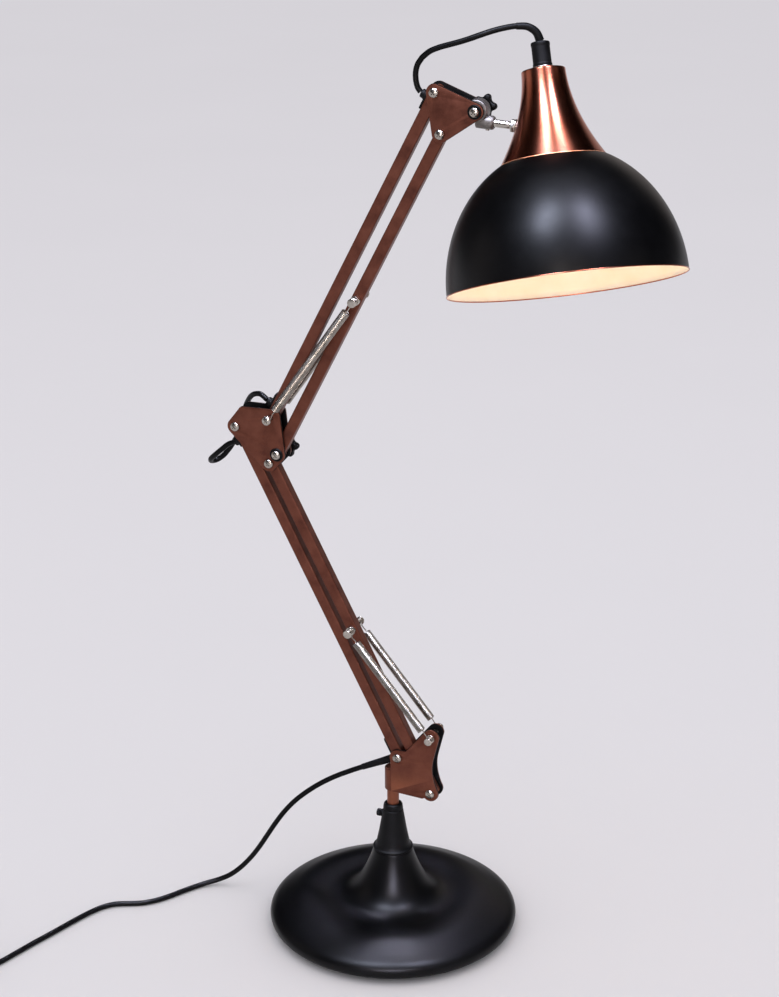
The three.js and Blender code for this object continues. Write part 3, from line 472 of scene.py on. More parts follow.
def extruded_pvc():
    # Extruded black PVC sheath: smooth with a slow ripple from the die and a soft sheen.
    coat = Finish("extruded_pvc", IOR=1.53, Specular_IOR_Level=0.12)
    ripple = coat.noise(5)
    colour = coat.tint(coat.noise(0.9, 3), (0.35, "#050506"), (0.75, "#0b0b0d"))
    return coat.made(colour, coat.level(ripple, 0.34, 0.48), (ripple, 0.2, 0.3))


def foam_rubber():
    # Die-cut foam rubber: matt charcoal full of small open cells, painted darker into each cell's pit
    # as shade.
    coat = Finish("foam_rubber", IOR=1.5)
    cell_size = 1.2 * MM
    cells_and_pit_shade = coat.add("TexVoronoi", {"Scale": 1 / cell_size}, {"Vector": coat.place})
    # colour follows the bump: darker where each cell sinks, painted shade in the pits
    colour = coat.tint(cells_and_pit_shade, (0.1, "#0d0d0d"), (0.6, "#1f1f20"))
    return coat.made(colour, coat.level(cells_and_pit_shade, 0.8, 0.95, 0, 1), (cells_and_pit_shade, 0.5, 0.4))


def sand_cast_iron():
    # Raw sand-cast iron: dark grey, pitted by the mould and browned by light rust.
    coat = Finish("sand_cast_iron", Metallic=0.7)
    pits = coat.noise(1.5, 6, 0.7)
    colour = coat.tint(coat.noise(20, 5), (0.4, "#353535"), (0.75, "#5a4334"))
    return coat.made(colour, coat.level(pits, 0.6, 0.9, 0, 1), (pits, 0.6, 0.5))


def opal_glass():
    # Opal lamp glass, lit: a warm white glow over faintly uneven milky glass.
    coat = Finish("opal_glass", IOR=1.5, Roughness=0.25,
                  Emission_Color=linear("#ffe6c6"), Emission_Strength=6)
    return coat.made(coat.tint(coat.noise(12), (0.3, "#f7efe2"), (0.7, "#fffaf0")))


def rolled_aluminium():
    # Rolled aluminium screw cap: pale, satin, with marks that run round the thread.
    coat = Finish("rolled_aluminium", Metallic=1)
    marks = coat.noise(500, 4, place=coat.mapped(Scale=(20, 20, 700)))
    colour = coat.tint(marks, (0.3, "#b9b8b6"), (0.7, "#d8d7d4"))
    return coat.made(colour, coat.level(marks, 0.25, 0.45, 0, 1))


def pale_floor():
    # Pale matt floor paint with a barely visible unevenness.
    coat = Finish("pale_floor", Roughness=0.9, Specular_IOR_Level=0)
    return coat.made(coat.tint(coat.noise(400, 4), (0.3, "#e8e6e9"), (0.7, "#e9e7ea")))


LACQUER = sprayed_satin_lacquer()
ENAMEL = cream_enamel()
BROWN = antique_copper_paint()
COPPER = spun_copper()
NICKEL = bright_nickel()
ZINC = die_cast_zinc()
NYLON = moulded_nylon()
PVC = extruded_pvc()
FOAM = foam_rubber()
IRON = sand_cast_iron()
OPAL = opal_glass()
ALUMINIUM = rolled_aluminium()


# ------------------------------------------------------------------ making a piece
SHARP_ANGLE = math.radians(34)      # edges bent further than this stay crisp


def piece(name, shape, finishes, place=None, body=None, stands_for=()):
    """Turns a shape into a piece at its place; body None leaves it on no body."""
    finishes = finishes if isinstance(finishes, list) else [finishes]
    bmesh.ops.recalc_face_normals(shape, faces=shape.faces)
    mesh = bpy.data.meshes.new(name)
    shape.to_mesh(mesh)
    shape.free()
    for material in finishes:
        mesh.materials.append(material)
    mesh.shade_smooth()
    mesh.set_sharp_from_angle(angle=SHARP_ANGLE)
    obj = bpy.data.objects.new(name, mesh)
    bpy.context.scene.collection.objects.link(obj)
    if place is not None:
        obj.matrix_world = place
    if body:
        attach(obj, body)
    if stands_for:
        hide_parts(*stands_for)
    return obj


def carry_over(node, material):
    """A CAD node that stays as it is, with its finish."""
    obj = frame["nodes"][node]
    obj.data.materials.clear()
    obj.data.materials.append(material)


# ------------------------------------------------------------------ cords
CORD_RADIUS = 2.4                   # routes and floor line in metres, the rest in millimetres
FLOOR_LINE = 0.0025                 # height of the lead's middle where it lies
POWER_ROUTE = [
    (-0.0027, 0, 0.1676), (-0.01, 0, 0.164), (-0.018, 0, 0.1602), (-0.03, 0, 0.1543),
    (-0.044, 0, 0.147), (-0.058, 0, 0.139), (-0.0715, 0, 0.1299), (-0.085, 0, 0.119),
    (-0.098, 0, 0.1065), (-0.109, 0, 0.093), (-0.118, 0, 0.0795), (-0.127, 0.0005, 0.0645),
    (-0.136, 0.001, 0.0495), (-0.146, 0.002, 0.035), (-0.157, 0.0025, 0.022),
    (-0.168, 0.0025, 0.012), (-0.179, 0, 0.006), (-0.189, -0.006, FLOOR_LINE + MM),
]
POWER_ROUTE += [(x, y, FLOOR_LINE) for x, y in (
    (-0.1975, -0.015), (-0.2055, -0.027), (-0.2135, -0.04), (-0.222, -0.051),
    (-0.232, -0.0595), (-0.244, -0.065), (-0.255, -0.07), (-0.264, -0.079),
    (-0.271, -0.092), (-0.277, -0.107), (-0.283, -0.124), (-0.289, -0.141),
    (-0.296, -0.16), (-0.302, -0.178), (-0.3085, -0.197), (-0.3162, -0.2155),
)]
TAIL_ROUTE = [
    (-0.3843, -0.2003, 0.0105), (-0.385, -0.194, 0.0095), (-0.3865, -0.187, 0.008),
    (-0.3882, -0.1805, 0.007), (-0.3893, -0.1755, 0.0069),
]
ELBOW_ROUTE = [
    (-0.1498, 0, 0.4576), (-0.1561, -0.0003, 0.4549), (-0.1631, -0.0003, 0.449),
    (-0.17, 0.0006, 0.4427), (-0.1759, 0.004, 0.437), (-0.1779, 0.0098, 0.4328),
    (-0.1748, 0.015, 0.4326), (-0.1693, 0.0172, 0.4368), (-0.1632, 0.0179, 0.4444),
    (-0.1571, 0.018, 0.4543), (-0.1525, 0.018, 0.4648), (-0.1491, 0.0176, 0.4753),
    (-0.1466, 0.0168, 0.4852), (-0.1428, 0.0144, 0.4926), (-0.1378, 0.0098, 0.4988),
    (-0.132, 0.0056, 0.5028), (-0.1254, 0.0025, 0.5042), (-0.1183, 0.0002, 0.5007),
]
HEAD_ROUTE = [
    (0.0235, 0, 0.7818), (0.021, 0, 0.7853), (0.0194, 0, 0.7912), (0.0192, 0, 0.7978),
    (0.0208, 0, 0.804), (0.0247, 0, 0.81), (0.0308, 0.0005, 0.8151), (0.0387, 0.001, 0.8187),
    (0.0479, 0.0015, 0.8216), (0.057, 0.0022, 0.8244), (0.0652, 0.0032, 0.8273),
    (0.0731, 0.0048, 0.8303), (0.0812, 0.0072, 0.8332), (0.0899, 0.0106, 0.8356),
    (0.0996, 0.0146, 0.8372), (0.108, 0.0184, 0.8366), (0.1144, 0.0211, 0.8322),
    (0.1175, 0.0223, 0.8254),
]
COIL_OUTER = 30.8                   # middle of the outermost turn
COIL_PITCH = 4.8
COIL_ARRIVES = -26.6                # degrees round the coil where the lead comes in
COIL_LEAVES = -180


def coil_turns():
    """Turns of the wound lead about its own middle: in along the floor, out on the second
    layer, in on the third, then over the top and out; clockwise seen from above."""
    inner = COIL_OUTER - 2.1 * COIL_PITCH
    total = (COIL_ARRIVES - COIL_LEAVES) / 360 + 7
    plan = [
        (0.0, COIL_OUTER, 0), (2.1, inner, 0), (2.4, inner, 1), (4.5, COIL_OUTER, 1),
        (4.8, COIL_OUTER, 2), (6.9, inner, 2), (7.08, inner, 3), (7.3, COIL_OUTER, 3),
        (total, COIL_OUTER + 4, 2.25),
    ]
    made = []
    for turns in steps(0, total, round(total * 40)):
        for (a, radius_a, layer_a), (b, radius_b, layer_b) in zip(plan, plan[1:]):
            if a <= turns <= b:
                share = (turns - a) / (b - a)
                break
        if b - a < 1:
            share = share * share * (3 - 2 * share)
        radius = radius_a + (radius_b - radius_a) * share
        height = FLOOR_LINE / MM + COIL_PITCH * (layer_a + (layer_b - layer_a) * share)
        angle = math.radians(COIL_ARRIVES - 360 * turns)
        made.append(Vector((radius * math.cos(angle), radius * math.sin(angle), height)))
    return made


def in_mm(points):
    return [Vector(p) / MM for p in points]


def loop_piece(name, route, first, last):
    """One stretch of a lead that is held at both ends, running between two bodies and riding on
    neither.
    """
    made = piece(name, tube(catmull(in_mm(route[first:last + 1]), 5), CORD_RADIUS, 16), PVC)
    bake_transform(made)
    return made


def make_cords(plug, tie):
    coil_middle = middle("cord_coil") / MM
    coil_middle.z = 0
    turns = [p + coil_middle for p in coil_turns()]
    hang = catmull(in_mm(POWER_ROUTE[2:]), 4)
    tail = catmull(in_mm(TAIL_ROUTE), 4)
    path = hang + catmull([hang[-1], (hang[-1] + turns[0]) / 2, turns[0]], 4)[1:-1] + turns
    path += catmull([turns[-1], (turns[-1] + tail[0]) / 2, tail[0]], 4)[1:-1] + tail
    lead = piece("power_lead", tube(path, CORD_RADIUS, 14), PVC)
    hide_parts("power_cord", "cord_coil", "cord_tail")
    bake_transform(lead)

    relief = catmull(in_mm(POWER_ROUTE[:4]), 6)
    taper = piece("lead_relief_sleeve", tube(relief, lambda t: 3.7 - 0.9 * t, 18), NYLON)
    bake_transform(taper)

    below = loop_piece("elbow_lead_below", ELBOW_ROUTE, 0, 8)
    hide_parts("elbow_cord_loop")
    loop_piece("elbow_lead_above", ELBOW_ROUTE, 8, 17)
    rise = loop_piece("head_lead_rise", HEAD_ROUTE, 0, 5)
    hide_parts("head_cord_loop")
    loop_piece("head_lead_span", HEAD_ROUTE, 5, 10)
    loop_piece("head_lead_drop", HEAD_ROUTE, 10, 17)
    sleeve = catmull(in_mm(HEAD_ROUTE[14:]), 5)
    piece("head_lead_sleeve", tube(sleeve, lambda t: 2.8 + 0.8 * t, 16), NYLON, None, "shade")


def make_plug():
    """Flat two-pin plug with ribs on its tapered relief, lying beside the coil."""
    relief_end = 20
    sections = [(0, 3.6, 3.6)]
    for start in steps(2, 16, 5)[:-1]:
        rib = ((0, 4.4), (1.9, 4.5), (2.0, 3.7), (2.7, 3.7))
        sections += [(start + rise, radius, radius) for rise, radius in rib]
    sections += [
        (relief_end, 4.6, 4.6), (24, 8, 5.4), (29, 12.5, 6.1), (34, 15, 6.4), (42, 16.3, 6.6),
        (49, 17, 6.7), (51.2, 16.7, 6.4), (52, 15.8, 5.7),
    ]
    loops = []
    for height, half_width, half_depth in sections:
        loop = []
        for a in steps(0, TURN, 48)[:-1]:
            power = 0.55 if height > relief_end else 1
            x = math.copysign(abs(math.cos(a)) ** power, math.cos(a)) * half_width
            y = math.copysign(abs(math.sin(a)) ** power, math.sin(a)) * half_depth
            loop.append((x, y, height))
        loops.append(loop)
    lean = math.radians(8)
    place = placed(TAIL_ROUTE[-1], (-math.sin(lean), math.cos(lean), 0))
    plug = piece("moulded_plug", skin(loops), PVC, place, "base", ["mains_plug"])
    pin = [(0, 51), (2, 51), (2, 69.6), (1.5, 70.8), (0, 71)]
    pin_out = 9.3
    for side in (-1, 1):
        shape = turn(lathe(pin, 24), shift(side * pin_out, 0, 0))
        obj = piece(f"plug_pin_{'left' if side < 0 else 'right'}", shape, NICKEL, place)
        obj.parent = plug
        obj.matrix_parent_inverse = plug.matrix_world.inverted()
    return plug


def make_tie():
    """Flat strap round the wound lead."""
    half_thickness, half_width, lowest = 0.45, 3, 0.05
    section_middle = Vector((26, 7.6))
    degrees_round_coil = -95
    coil = middle("cord_coil") / MM
    outline = eased([(17.6, 0.25), (34.4, 0.25), (34.4, 15), (17.6, 15)], 3.5, 5, closed=True)
    loops = []
    for radius, height in outline:
        out = (Vector((radius, height)) - section_middle).normalized() * half_thickness
        loop = []
        for deep, wide in ((-1, -1), (1, -1), (1, 1), (-1, 1)):
            z = max(lowest, height + out.y * deep)
            loop.append((radius + out.x * deep, wide * half_width, z))
        loops.append(loop)
    strap = skin(loops, closes=True)
    shape = turn(strap, rotate(degrees_round_coil, "Z"), shift(coil.x, coil.y, 0))
    return piece("coil_strap", shape, NYLON, None, "base")


# ------------------------------------------------------------------ fasteners
PLATE_FACE = 8.3                    # arm plane to the outer face of a bracket plate
PLATE_INNER = 6.5
SPRING_PLANE = 13                   # arm plane to the springs' axes


def waved(count, reach):
    """Round outline whose radius is reach(angle)."""
    angles = steps(0, TURN, count)[:-1]
    return [(reach(a) * math.cos(a), reach(a) * math.sin(a)) for a in angles]


def screw_head(radius=4.2, height=2.7):
    """Pan head with a crossed recess, rising along +Z from its seat."""
    brim = 0.8
    crown = height - brim
    dome = [(radius * math.cos(a), brim + crown * math.sin(a)) for a in steps(0, TURN / 4, 8)]
    head = lathe([(0, 0), (radius * 0.94, 0), (radius, 0.25), *dome[:-1], (0, height)], 40)
    blades = []
    for angle in (45, 135):
        outline = [(-2.3, -0.42), (2.3, -0.42), (2.3, 0.42), (-2.3, 0.42)]
        blade = stack(outline, [(height - 1.5, 0.3), (height + 1, -0.15)])
        blades.append(turn(blade, rotate(angle, "Z")))
    return merged("DIFFERENCE", head, *blades)


def hexagon(across, height, bore, start=0):
    """Hexagonal nut with chamfered corners along +Z and a round bore."""
    corner = across / math.sqrt(3)
    outline = [(corner * math.cos(a), corner * math.sin(a)) for a in steps(0, TURN, 6)[:-1]]
    outline = eased(outline, 0.3, 2, closed=True)
    return stack(outline, edges_eased(start, start + height, 0.35), [(0, 0, bore)])


def pivot_screw(name, place, body, stands_for):
    """Pan head screw along Y with a nut and washer behind."""
    here = Matrix.Translation(place)
    head = turn(screw_head(), UPRIGHT, shift(0, -PLATE_FACE - 0.3, 0))
    shank = turn(lathe([(0, -8.4), (2, -8.4), (2, 12.6), (1.6, 13.1), (0, 13.1)], 24), ACROSS)
    piece(name, merged("UNION", shank, head), NICKEL, here, body, [stands_for])
    nut = turn(hexagon(7, 3.2, 1.95, PLATE_FACE + 0.5), ACROSS)
    piece(name + "_nut", nut, NICKEL, here, body)
    washer = stack(circle(0, 0, 4.6), edges_eased(0, 0.6, 0.15), [(0, 0, 2.1)])
    piece(name + "_washer", turn(washer, ACROSS, shift(0, PLATE_FACE, 0)), NICKEL, here, body)


def clamp_set(prefix, place, body, knob_body):
    """Dished washer and bolt in front, star knob with a nickelled insert behind."""
    here = Matrix.Translation(place)
    dish = [(2.2, 0), (6, 0), (6.1, 0.5), (5.6, 1.2), (4.9, 1.25), (4.7, 0.9), (2.2, 0.9)]
    washer = turn(lathe(dish, 48, closes=True), UPRIGHT, shift(0, -PLATE_FACE - 0.2, 0))
    piece(prefix + "_dished_washer", washer, NYLON, here, body, [prefix + "_clamp_washer"])
    head = turn(screw_head(4.1, 2.6), UPRIGHT, shift(0, -PLATE_FACE - 1.3, 0))
    shank = turn(lathe([(0, -9.2), (2, -9.2), (2, 19), (1.6, 19.5), (0, 19.5)], 24), ACROSS)
    piece(prefix + "_bolt", merged("UNION", shank, head), NICKEL, here, body, [prefix + "_clamp_bolt"])
    knob = turn(star_knob(), ACROSS, shift(0, PLATE_FACE + 5.3, 0))
    piece(prefix + "_star_knob", knob, NYLON, here, knob_body, [prefix + "_knob"])
    hub = lathe([(4.2, 0), (5.1, 0), (5.5, 0.4), (5.5, 5.05), (4.2, 5.05)], 48, closes=True)
    seat = shift(0, PLATE_FACE + 0.3, 0)
    piece(prefix + "_knob_hub", turn(hub, ACROSS, seat), NYLON, here, knob_body)
    insert = lathe([(2.2, 0), (4.1, 0), (4.1, 13.9), (3.7, 14.2), (2.2, 14.2)], 32, closes=True)
    piece(prefix + "_knob_insert", turn(insert, ACROSS, seat), NICKEL, here, knob_body)


def star_knob():
    """Five-lobed head of a knob along +Z with a crowned top."""
    def reach(angle):
        wave = math.cos(5 * angle)
        return 10.4 * (0.85 + 0.15 * math.copysign(abs(wave) ** 0.75, wave))

    levels = [
        (0, 3.4), (1.6, 3.2), (2.2, 0.9), (2.7, 0.25), (3.4, 0), (7, 0),
        (8, 0.35), (8.7, 1.1), (9, 2.2),
    ]
    return stack(waved(100, reach), levels, [(0, 0, 4.2)])


# ------------------------------------------------------------------ base
PAD_RADIUS = 104
# distance in from the widest ring and height above the floor: rim, dish and neck
COVER_OUTLINE = [
    (10, 2.3), (5, 3.8), (1.2, 6.8), (0, 10.6), (1, 14.8), (4.6, 18.6), (10, 21.8), (17, 25),
    (25, 28.2), (33, 30.1), (41, 30.7), (49, 30.2), (57, 29.5), (66, 30.3), (74, 34.1),
    (81, 41.2), (86.6, 50.6), (91.4, 60.8), (94.8, 69.4), (97, 76.4),
]


def cover_section():
    """Closed section of the pressed base cover, foot turned in and neck turned over."""
    wall = 1.5
    curve = catmull([(BASE_RADIUS - inward, height, 0) for inward, height in COVER_OUTLINE], 5)
    outer = [(point.x, point.y) for point in curve]
    inner = []
    for before, point, after in zip(outer, outer[1:], outer[2:]):
        run, rise = after[0] - before[0], after[1] - before[1]
        reach = wall / math.hypot(run, rise)
        inner.append((point[0] - rise * reach, point[1] + run * reach))
    neck = [(17.4, NECK_HEIGHT), (8.5, NECK_HEIGHT), (8.5, NECK_HEIGHT - wall)]
    return [*outer, *neck, *inner[-4::-3], (104.6, 3.6)]


def make_base():
    here = Matrix.Identity(4)
    cover = lathe(cover_section(), 128, closes=True)
    piece("base_cover_pressing", cover, LACQUER, here, "base", ["base_cover"])

    pad = eased([(0, 2), (PAD_RADIUS, 2), (PAD_RADIUS, 0), (0, 0)], 0.5)
    piece("foam_foot_pad", lathe(pad, 128), FOAM, here, "base", ["base_pad"])
    carry_over("base_weight", IRON)
    carry_over("collar_nut", NICKEL)

    foot_z = NECK_HEIGHT + 0.3
    profile = eased([
        (5.8, foot_z - 20), (8.2, foot_z - 20), (8.2, foot_z), (18.5, foot_z), (18.5, foot_z + 1.6),
        (16.6, foot_z + 2.6), (15.5, foot_z + 5), (12.9, foot_z + 18), (10.2, foot_z + 34),
        (9.3, foot_z + 39.2), (8.8, foot_z + 39.5), (8.8, foot_z + 40.5), (9.2, foot_z + 40.8),
        (8.6, foot_z + 44.8), (7.4, foot_z + 46), (5.8, foot_z + 46),
    ], 0.5, 3, closed=True)
    collar = lathe(profile, 96, closes=True)
    screw_z = middle("collar_clamp_screw").z / MM
    sideways = (rotate(-90, "Y"), shift(0, 0, screw_z))
    boss = turn(lathe([(0, 7), (3.9, 7), (3.6, 11), (3.2, 11.3), (0, 11.3)], 40), *sideways)
    tapping = turn(cylinder(2.25, 0, 14), *sideways)
    bore = cylinder(5.8, foot_z - 22, foot_z + 50, 64)
    collar = merged("DIFFERENCE", merged("UNION", collar, boss), bore, tapping)
    piece("socket_collar_moulding", collar, NYLON, here, "base", ["socket_collar"])
    foot, top = (corner.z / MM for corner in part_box("post"))
    post = lathe([(0, foot), (5.5, foot), (5.5, top - 0.6), (4.9, top), (0, top)], 48)
    piece("swivel_post", post, BROWN, here, "lower_bracket", ["post"])


def make_thumbscrew():
    """Thumbscrew along -X through the collar, with a fluted rim and a dimpled face."""
    screw_z = middle("collar_clamp_screw").z
    outline = waved(96, lambda angle: 3.3 + 0.16 * math.cos(16 * angle))
    levels = [(11.7, 0.5), (12.1, 0), (15, 0), (15.5, 0.5), (15.5, 1.2), (15.1, 1.7)]
    head = stack(outline, levels)
    shape = turn(merged("UNION", cylinder(1.9, 5.9, 13), head), rotate(-90, "Y"))
    here = Matrix.Translation((0, 0, screw_z))
    piece("collar_thumbscrew", shape, NYLON, here, "clamp_screw", ["collar_clamp_screw"])


# ------------------------------------------------------------------ brackets and bars
LOBE = 7.5
HOLE = 2.3


def lobed(*lobes):
    """Outline round lobes given as x, z, radius, start and end angle."""
    return [point for lobe in lobes for point in arc(*lobe, 14)]


def offset_of(point, origin):
    """X and Z from origin to point, in millimetres."""
    return (point.x - origin.x) / MM, (point.z - origin.z) / MM


SIDES = (("front", -1), ("rear", 1))


def upright_sheet(outline, holes, sign, near, far, ease):
    """Sheet parallel to the arm plane, on one side of it, from near to far away."""
    low, high = sorted((sign * near, sign * far))
    return turn(stack(outline, edges_eased(-high, -low, ease), holes), UPRIGHT)


def cheek(outline, holes, sign):
    return upright_sheet(outline, holes, sign, PLATE_INNER, PLATE_FACE, 0.3)


# Thin black sheet inside a plate, a little larger than it: painted shade that stands for the dark gap
# between the two plates.
def shade_sheet(outline, holes, sign):
    return upright_sheet(outline, holes, sign, PLATE_INNER - 0.95, PLATE_INNER - 0.05, 0.2)


def plate_pair(prefix, outline, holes, origin, body):
    """Two copper-coloured plates, each with a thin black sheet on its inner face that reaches just
    past the plate's edge: painted shade between the plates and round their edges.
    """
    here = Matrix.Translation(origin)
    # grown 0.25 mm past the plate so that its black shows as a painted dark rim of shade
    edge = inset(outline, -0.25)
    for side, sign in SIDES:
        plate = cheek(outline, holes, sign)
        piece(f"{prefix}_{side}_cheek", plate, BROWN, here, body, [f"{prefix}_{side}_plate"])
        piece(f"{prefix}_{side}_liner", shade_sheet(edge, holes, sign), NYLON, here, body)


def lower_outline():
    """Side outline of the lower bracket about the post's axis, X and Z."""
    px, pz = offset_of(LOWER_LEFT, Vector())
    rx, rz = offset_of(LOWER_RIGHT, Vector())
    sx, sz = offset_of(STUD, Vector())
    fold_x = 0.7
    lobe = arc(rx, rz, LOBE, 225, 396, 20)
    waist = bend(lobe[-1], (rx - 0.5, rz + 20), (rx + 2.5, rz + 34))
    return [
        (fold_x, rz - 4), (rx - LOBE, rz - LOBE * 0.85), *lobe, *waist[1:],
        *arc(sx, sz, LOBE, 0, 135, 16), (px + 8, pz + 7.5),
        *arc(px, pz, LOBE, 99, 198, 14), (fold_x, pz - 12),
    ]


def make_lower_bracket():
    outline = lower_outline()
    px, pz = offset_of(LOWER_LEFT, Vector())
    rx, rz = offset_of(LOWER_RIGHT, Vector())
    sx, sz = offset_of(STUD, Vector())
    holes = [(px, pz, HOLE), (rx, rz, HOLE), (sx, sz, 2.4)]
    plates = [cheek(outline, holes, sign) for side, sign in SIDES]
    fold_x = outline[0][0]
    half = arc(0, 0, PLATE_FACE, 90, 270, 28) + arc(0, 0, PLATE_INNER, 270, 90, 28)
    half = [(fold_x + x + (0.4 if abs(x) < 1e-6 else 0), y) for x, y in half]
    fold = stack(half, edges_eased(outline[0][1] + 0.02, 160, 0.3))
    bracket = merged("UNION", fold, *plates)
    piece("lower_bracket_pressing", bracket, BROWN, None, "lower_bracket", ["lower_bracket"])
    clear_of_fold = [point for point in outline if point[0] > 8.6 or point[1] > 150]
    # black sheets inside the lower bracket's plates, grown past their edges: painted shade between the
    # plates
    edge = inset(clear_of_fold, -0.2)
    seat = PLATE_INNER - 0.5
    stud = eased([(0, seat), (2.2, seat), (2.2, 9.2), (3.9, 9.2), (3.9, 10.9), (2.2, 10.9),
                  (2.2, 15.6), (3.6, 15.6), (3.6, 17.1), (0, 17.4)], 0.3, 3)
    for side, sign in SIDES:
        piece(f"lower_{side}_liner", shade_sheet(edge, holes, sign), NYLON, None, "lower_bracket")
        shape = turn(lathe(stud, 40), ACROSS if sign > 0 else UPRIGHT)
        piece(f"spring_stud_{side}", shape, NICKEL, Matrix.Translation(STUD), "lower_bracket",
              [f"lower_spring_stud_{side}"])
    for side, place in (("left", LOWER_LEFT), ("right", LOWER_RIGHT)):
        pivot_screw(f"lower_{side}_screw", place, "lower_bracket", f"lower_{side}_pivot_screw")


def make_elbow():
    lx, lz = offset_of(ELBOW_RIGHT, ELBOW_LEFT)
    ux, uz = offset_of(UPPER_LEFT, ELBOW_LEFT)
    rx, rz = offset_of(UPPER_RIGHT, ELBOW_LEFT)
    corner = LOBE - 2
    outline = lobed(
        (0, 0, LOBE, 150, 225),
        (lx, lz, LOBE, 225, 300),
        (rx, rz, LOBE, 315, 375),
        (ux + 3, uz + 2, corner, 10, 95),
        (8, uz + 1.5, corner, 90, 140),
    )
    holes = [(0, 0, HOLE), (lx, lz, HOLE), (ux, uz, HOLE), (rx, rz, HOLE)]
    plate_pair("elbow", outline, holes, ELBOW_LEFT, "elbow_bracket")
    for side, place in (("left", ELBOW_LEFT), ("right", ELBOW_RIGHT)):
        pivot_screw(f"elbow_{side}_screw", place, "elbow_bracket", f"elbow_lower_{side}_screw")
    profile = eased([(0, -17.4), (2, -17.4), (2, 17.4), (0, 17.4)], 0.3, 3)
    shank = turn(lathe(profile, 32), ACROSS)
    head = turn(screw_head(4.1, 2.5), UPRIGHT, shift(0, -17.2, 0))
    bolt = merged("UNION", shank, head)
    here = Matrix.Translation(UPPER_LEFT)
    piece("elbow_spring_bolt", bolt, NICKEL, here, "elbow_bracket", ["elbow_spring_screw"])
    nut = turn(hexagon(6.4, 2.4, 1.95, 15.4), ACROSS)
    piece("elbow_spring_bolt_nut", nut, NICKEL, here, "elbow_bracket")
    clamp_set("elbow", UPPER_RIGHT, "elbow_bracket", "elbow_knob")


def make_head_bracket():
    rx, rz = offset_of(HEAD_RIGHT, HEAD_LEFT)
    tx, tz = offset_of(TILT, HEAD_LEFT)
    lobe = LOBE - 0.5
    outline = lobed(
        (rx, rz, lobe, 190, 300),
        (tx, tz, lobe, 295, 420),
        (0, 0, lobe, 60, 190),
    )
    holes = [(0, 0, HOLE), (rx, rz, HOLE), (tx, tz, HOLE)]
    plate_pair("head", outline, holes, HEAD_LEFT, "head_bracket")
    for side, place in (("left", HEAD_LEFT), ("right", HEAD_RIGHT)):
        pivot_screw(f"head_{side}_screw", place, "head_bracket", f"head_{side}_pivot_screw")
    clamp_set("head", TILT, "head_bracket", "head_knob")


BAR_HALF = 5
BAR_WALL = 1
BAR_PLAIN = 6                       # pivot to where the tube's rounded end is over


def bar_section(half, corner, z_at):
    """Rounded square loop whose height follows z_at(x)."""
    square = [(-half, -half), (half, -half), (half, half), (-half, half)]
    outline = eased(square, corner, 4, closed=True)
    dense = []
    for i, point in enumerate(outline):
        after = outline[(i + 1) % len(outline)]
        count = 6 if (Vector(after) - Vector(point)).length > corner else 1
        dense += [tuple(Vector(point).lerp(Vector(after), k / count)) for k in range(count)]
    return [(x, y, z_at(x)) for x, y in dense]


def make_bar(name, foot, top, body, node):
    """Square steel tube from pivot to pivot with its end walls rounded about the pivots."""
    length = (top - foot).length / MM

    def low(x):
        return -math.sqrt(max(0, BAR_HALF ** 2 - x * x))

    def high(x):
        return length - low(x)

    outside = (BAR_HALF, 1.3)
    inside = (BAR_HALF - BAR_WALL, 0.6)
    ends = (BAR_PLAIN, length - BAR_PLAIN)
    loops = [bar_section(*outside, low)]
    loops += [bar_section(*outside, lambda x, z=z: z) for z in steps(*ends, 24)]
    loops += [bar_section(*outside, high), bar_section(*inside, high)]
    loops += [bar_section(*inside, lambda x, z=z: z) for z in reversed(ends)]
    loops.append(bar_section(*inside, low))
    piece(name, skin(loops, closes=True), BROWN, bar_frame(foot, top), body, [node])


def make_grommet(name, exit_at, foot, top, body, node, at_top):
    """Moulded grommet on a bar's side face: a rounded flange and a ribbed snout."""
    start, end = exit_at - 4, 20
    half = (end - start) / 2
    flange = eased([(-half, -4), (half, -4), (half, 4), (-half, 4)], 2.2, 5, closed=True)
    shape = turn(stack(flange, edges_eased(0.2, 1.9, 0.5)), rotate(90, "Z"),
                 shift(0, (start + end) / 2, 0), UPRIGHT, rotate(-90, "Z"), shift(-BAR_HALF, 0, 0))
    steps_out = [(0, 0), (4.4, 0), (4.4, 2.6), (3.9, 3.2), (3.9, 5.3), (3.5, 5.9), (0, 5.9)]
    snout = eased([(radius, BAR_HALF + out) for radius, out in steps_out], 0.35, 3)
    nose = turn(lathe(snout, 40), rotate(-90, "Y"), shift(0, 0, exit_at))
    shape = merged("UNION", shape, nose)
    if at_top:
        length = (top - foot).length / MM
        shape = turn(shape, rotate(180, "X"), shift(0, 0, length))
    piece(name, shape, NYLON, bar_frame(foot, top), body, [node])


def make_anchor(name, place, foot, top, body, node):
    """Cross pin with a shouldered spacer and a head at each end, where the springs hook on."""
    half = [(0, 0), (2.2, 0), (2.2, 5.2), (4.1, 5.2), (4.1, 9.9), (2.3, 9.9),
            (2.3, 15.4), (3.9, 15.4), (3.9, 17.0), (0, 17.4)]
    profile = eased(half, 0.35, 3)[1:]
    mirrored = [(r, -h) for r, h in reversed(profile)]
    shape = turn(lathe([*mirrored, *profile], 40), ACROSS)
    axis_frame = bar_frame(foot, top)
    axis_frame.translation = place
    piece(name, shape, NICKEL, axis_frame, body, [node])


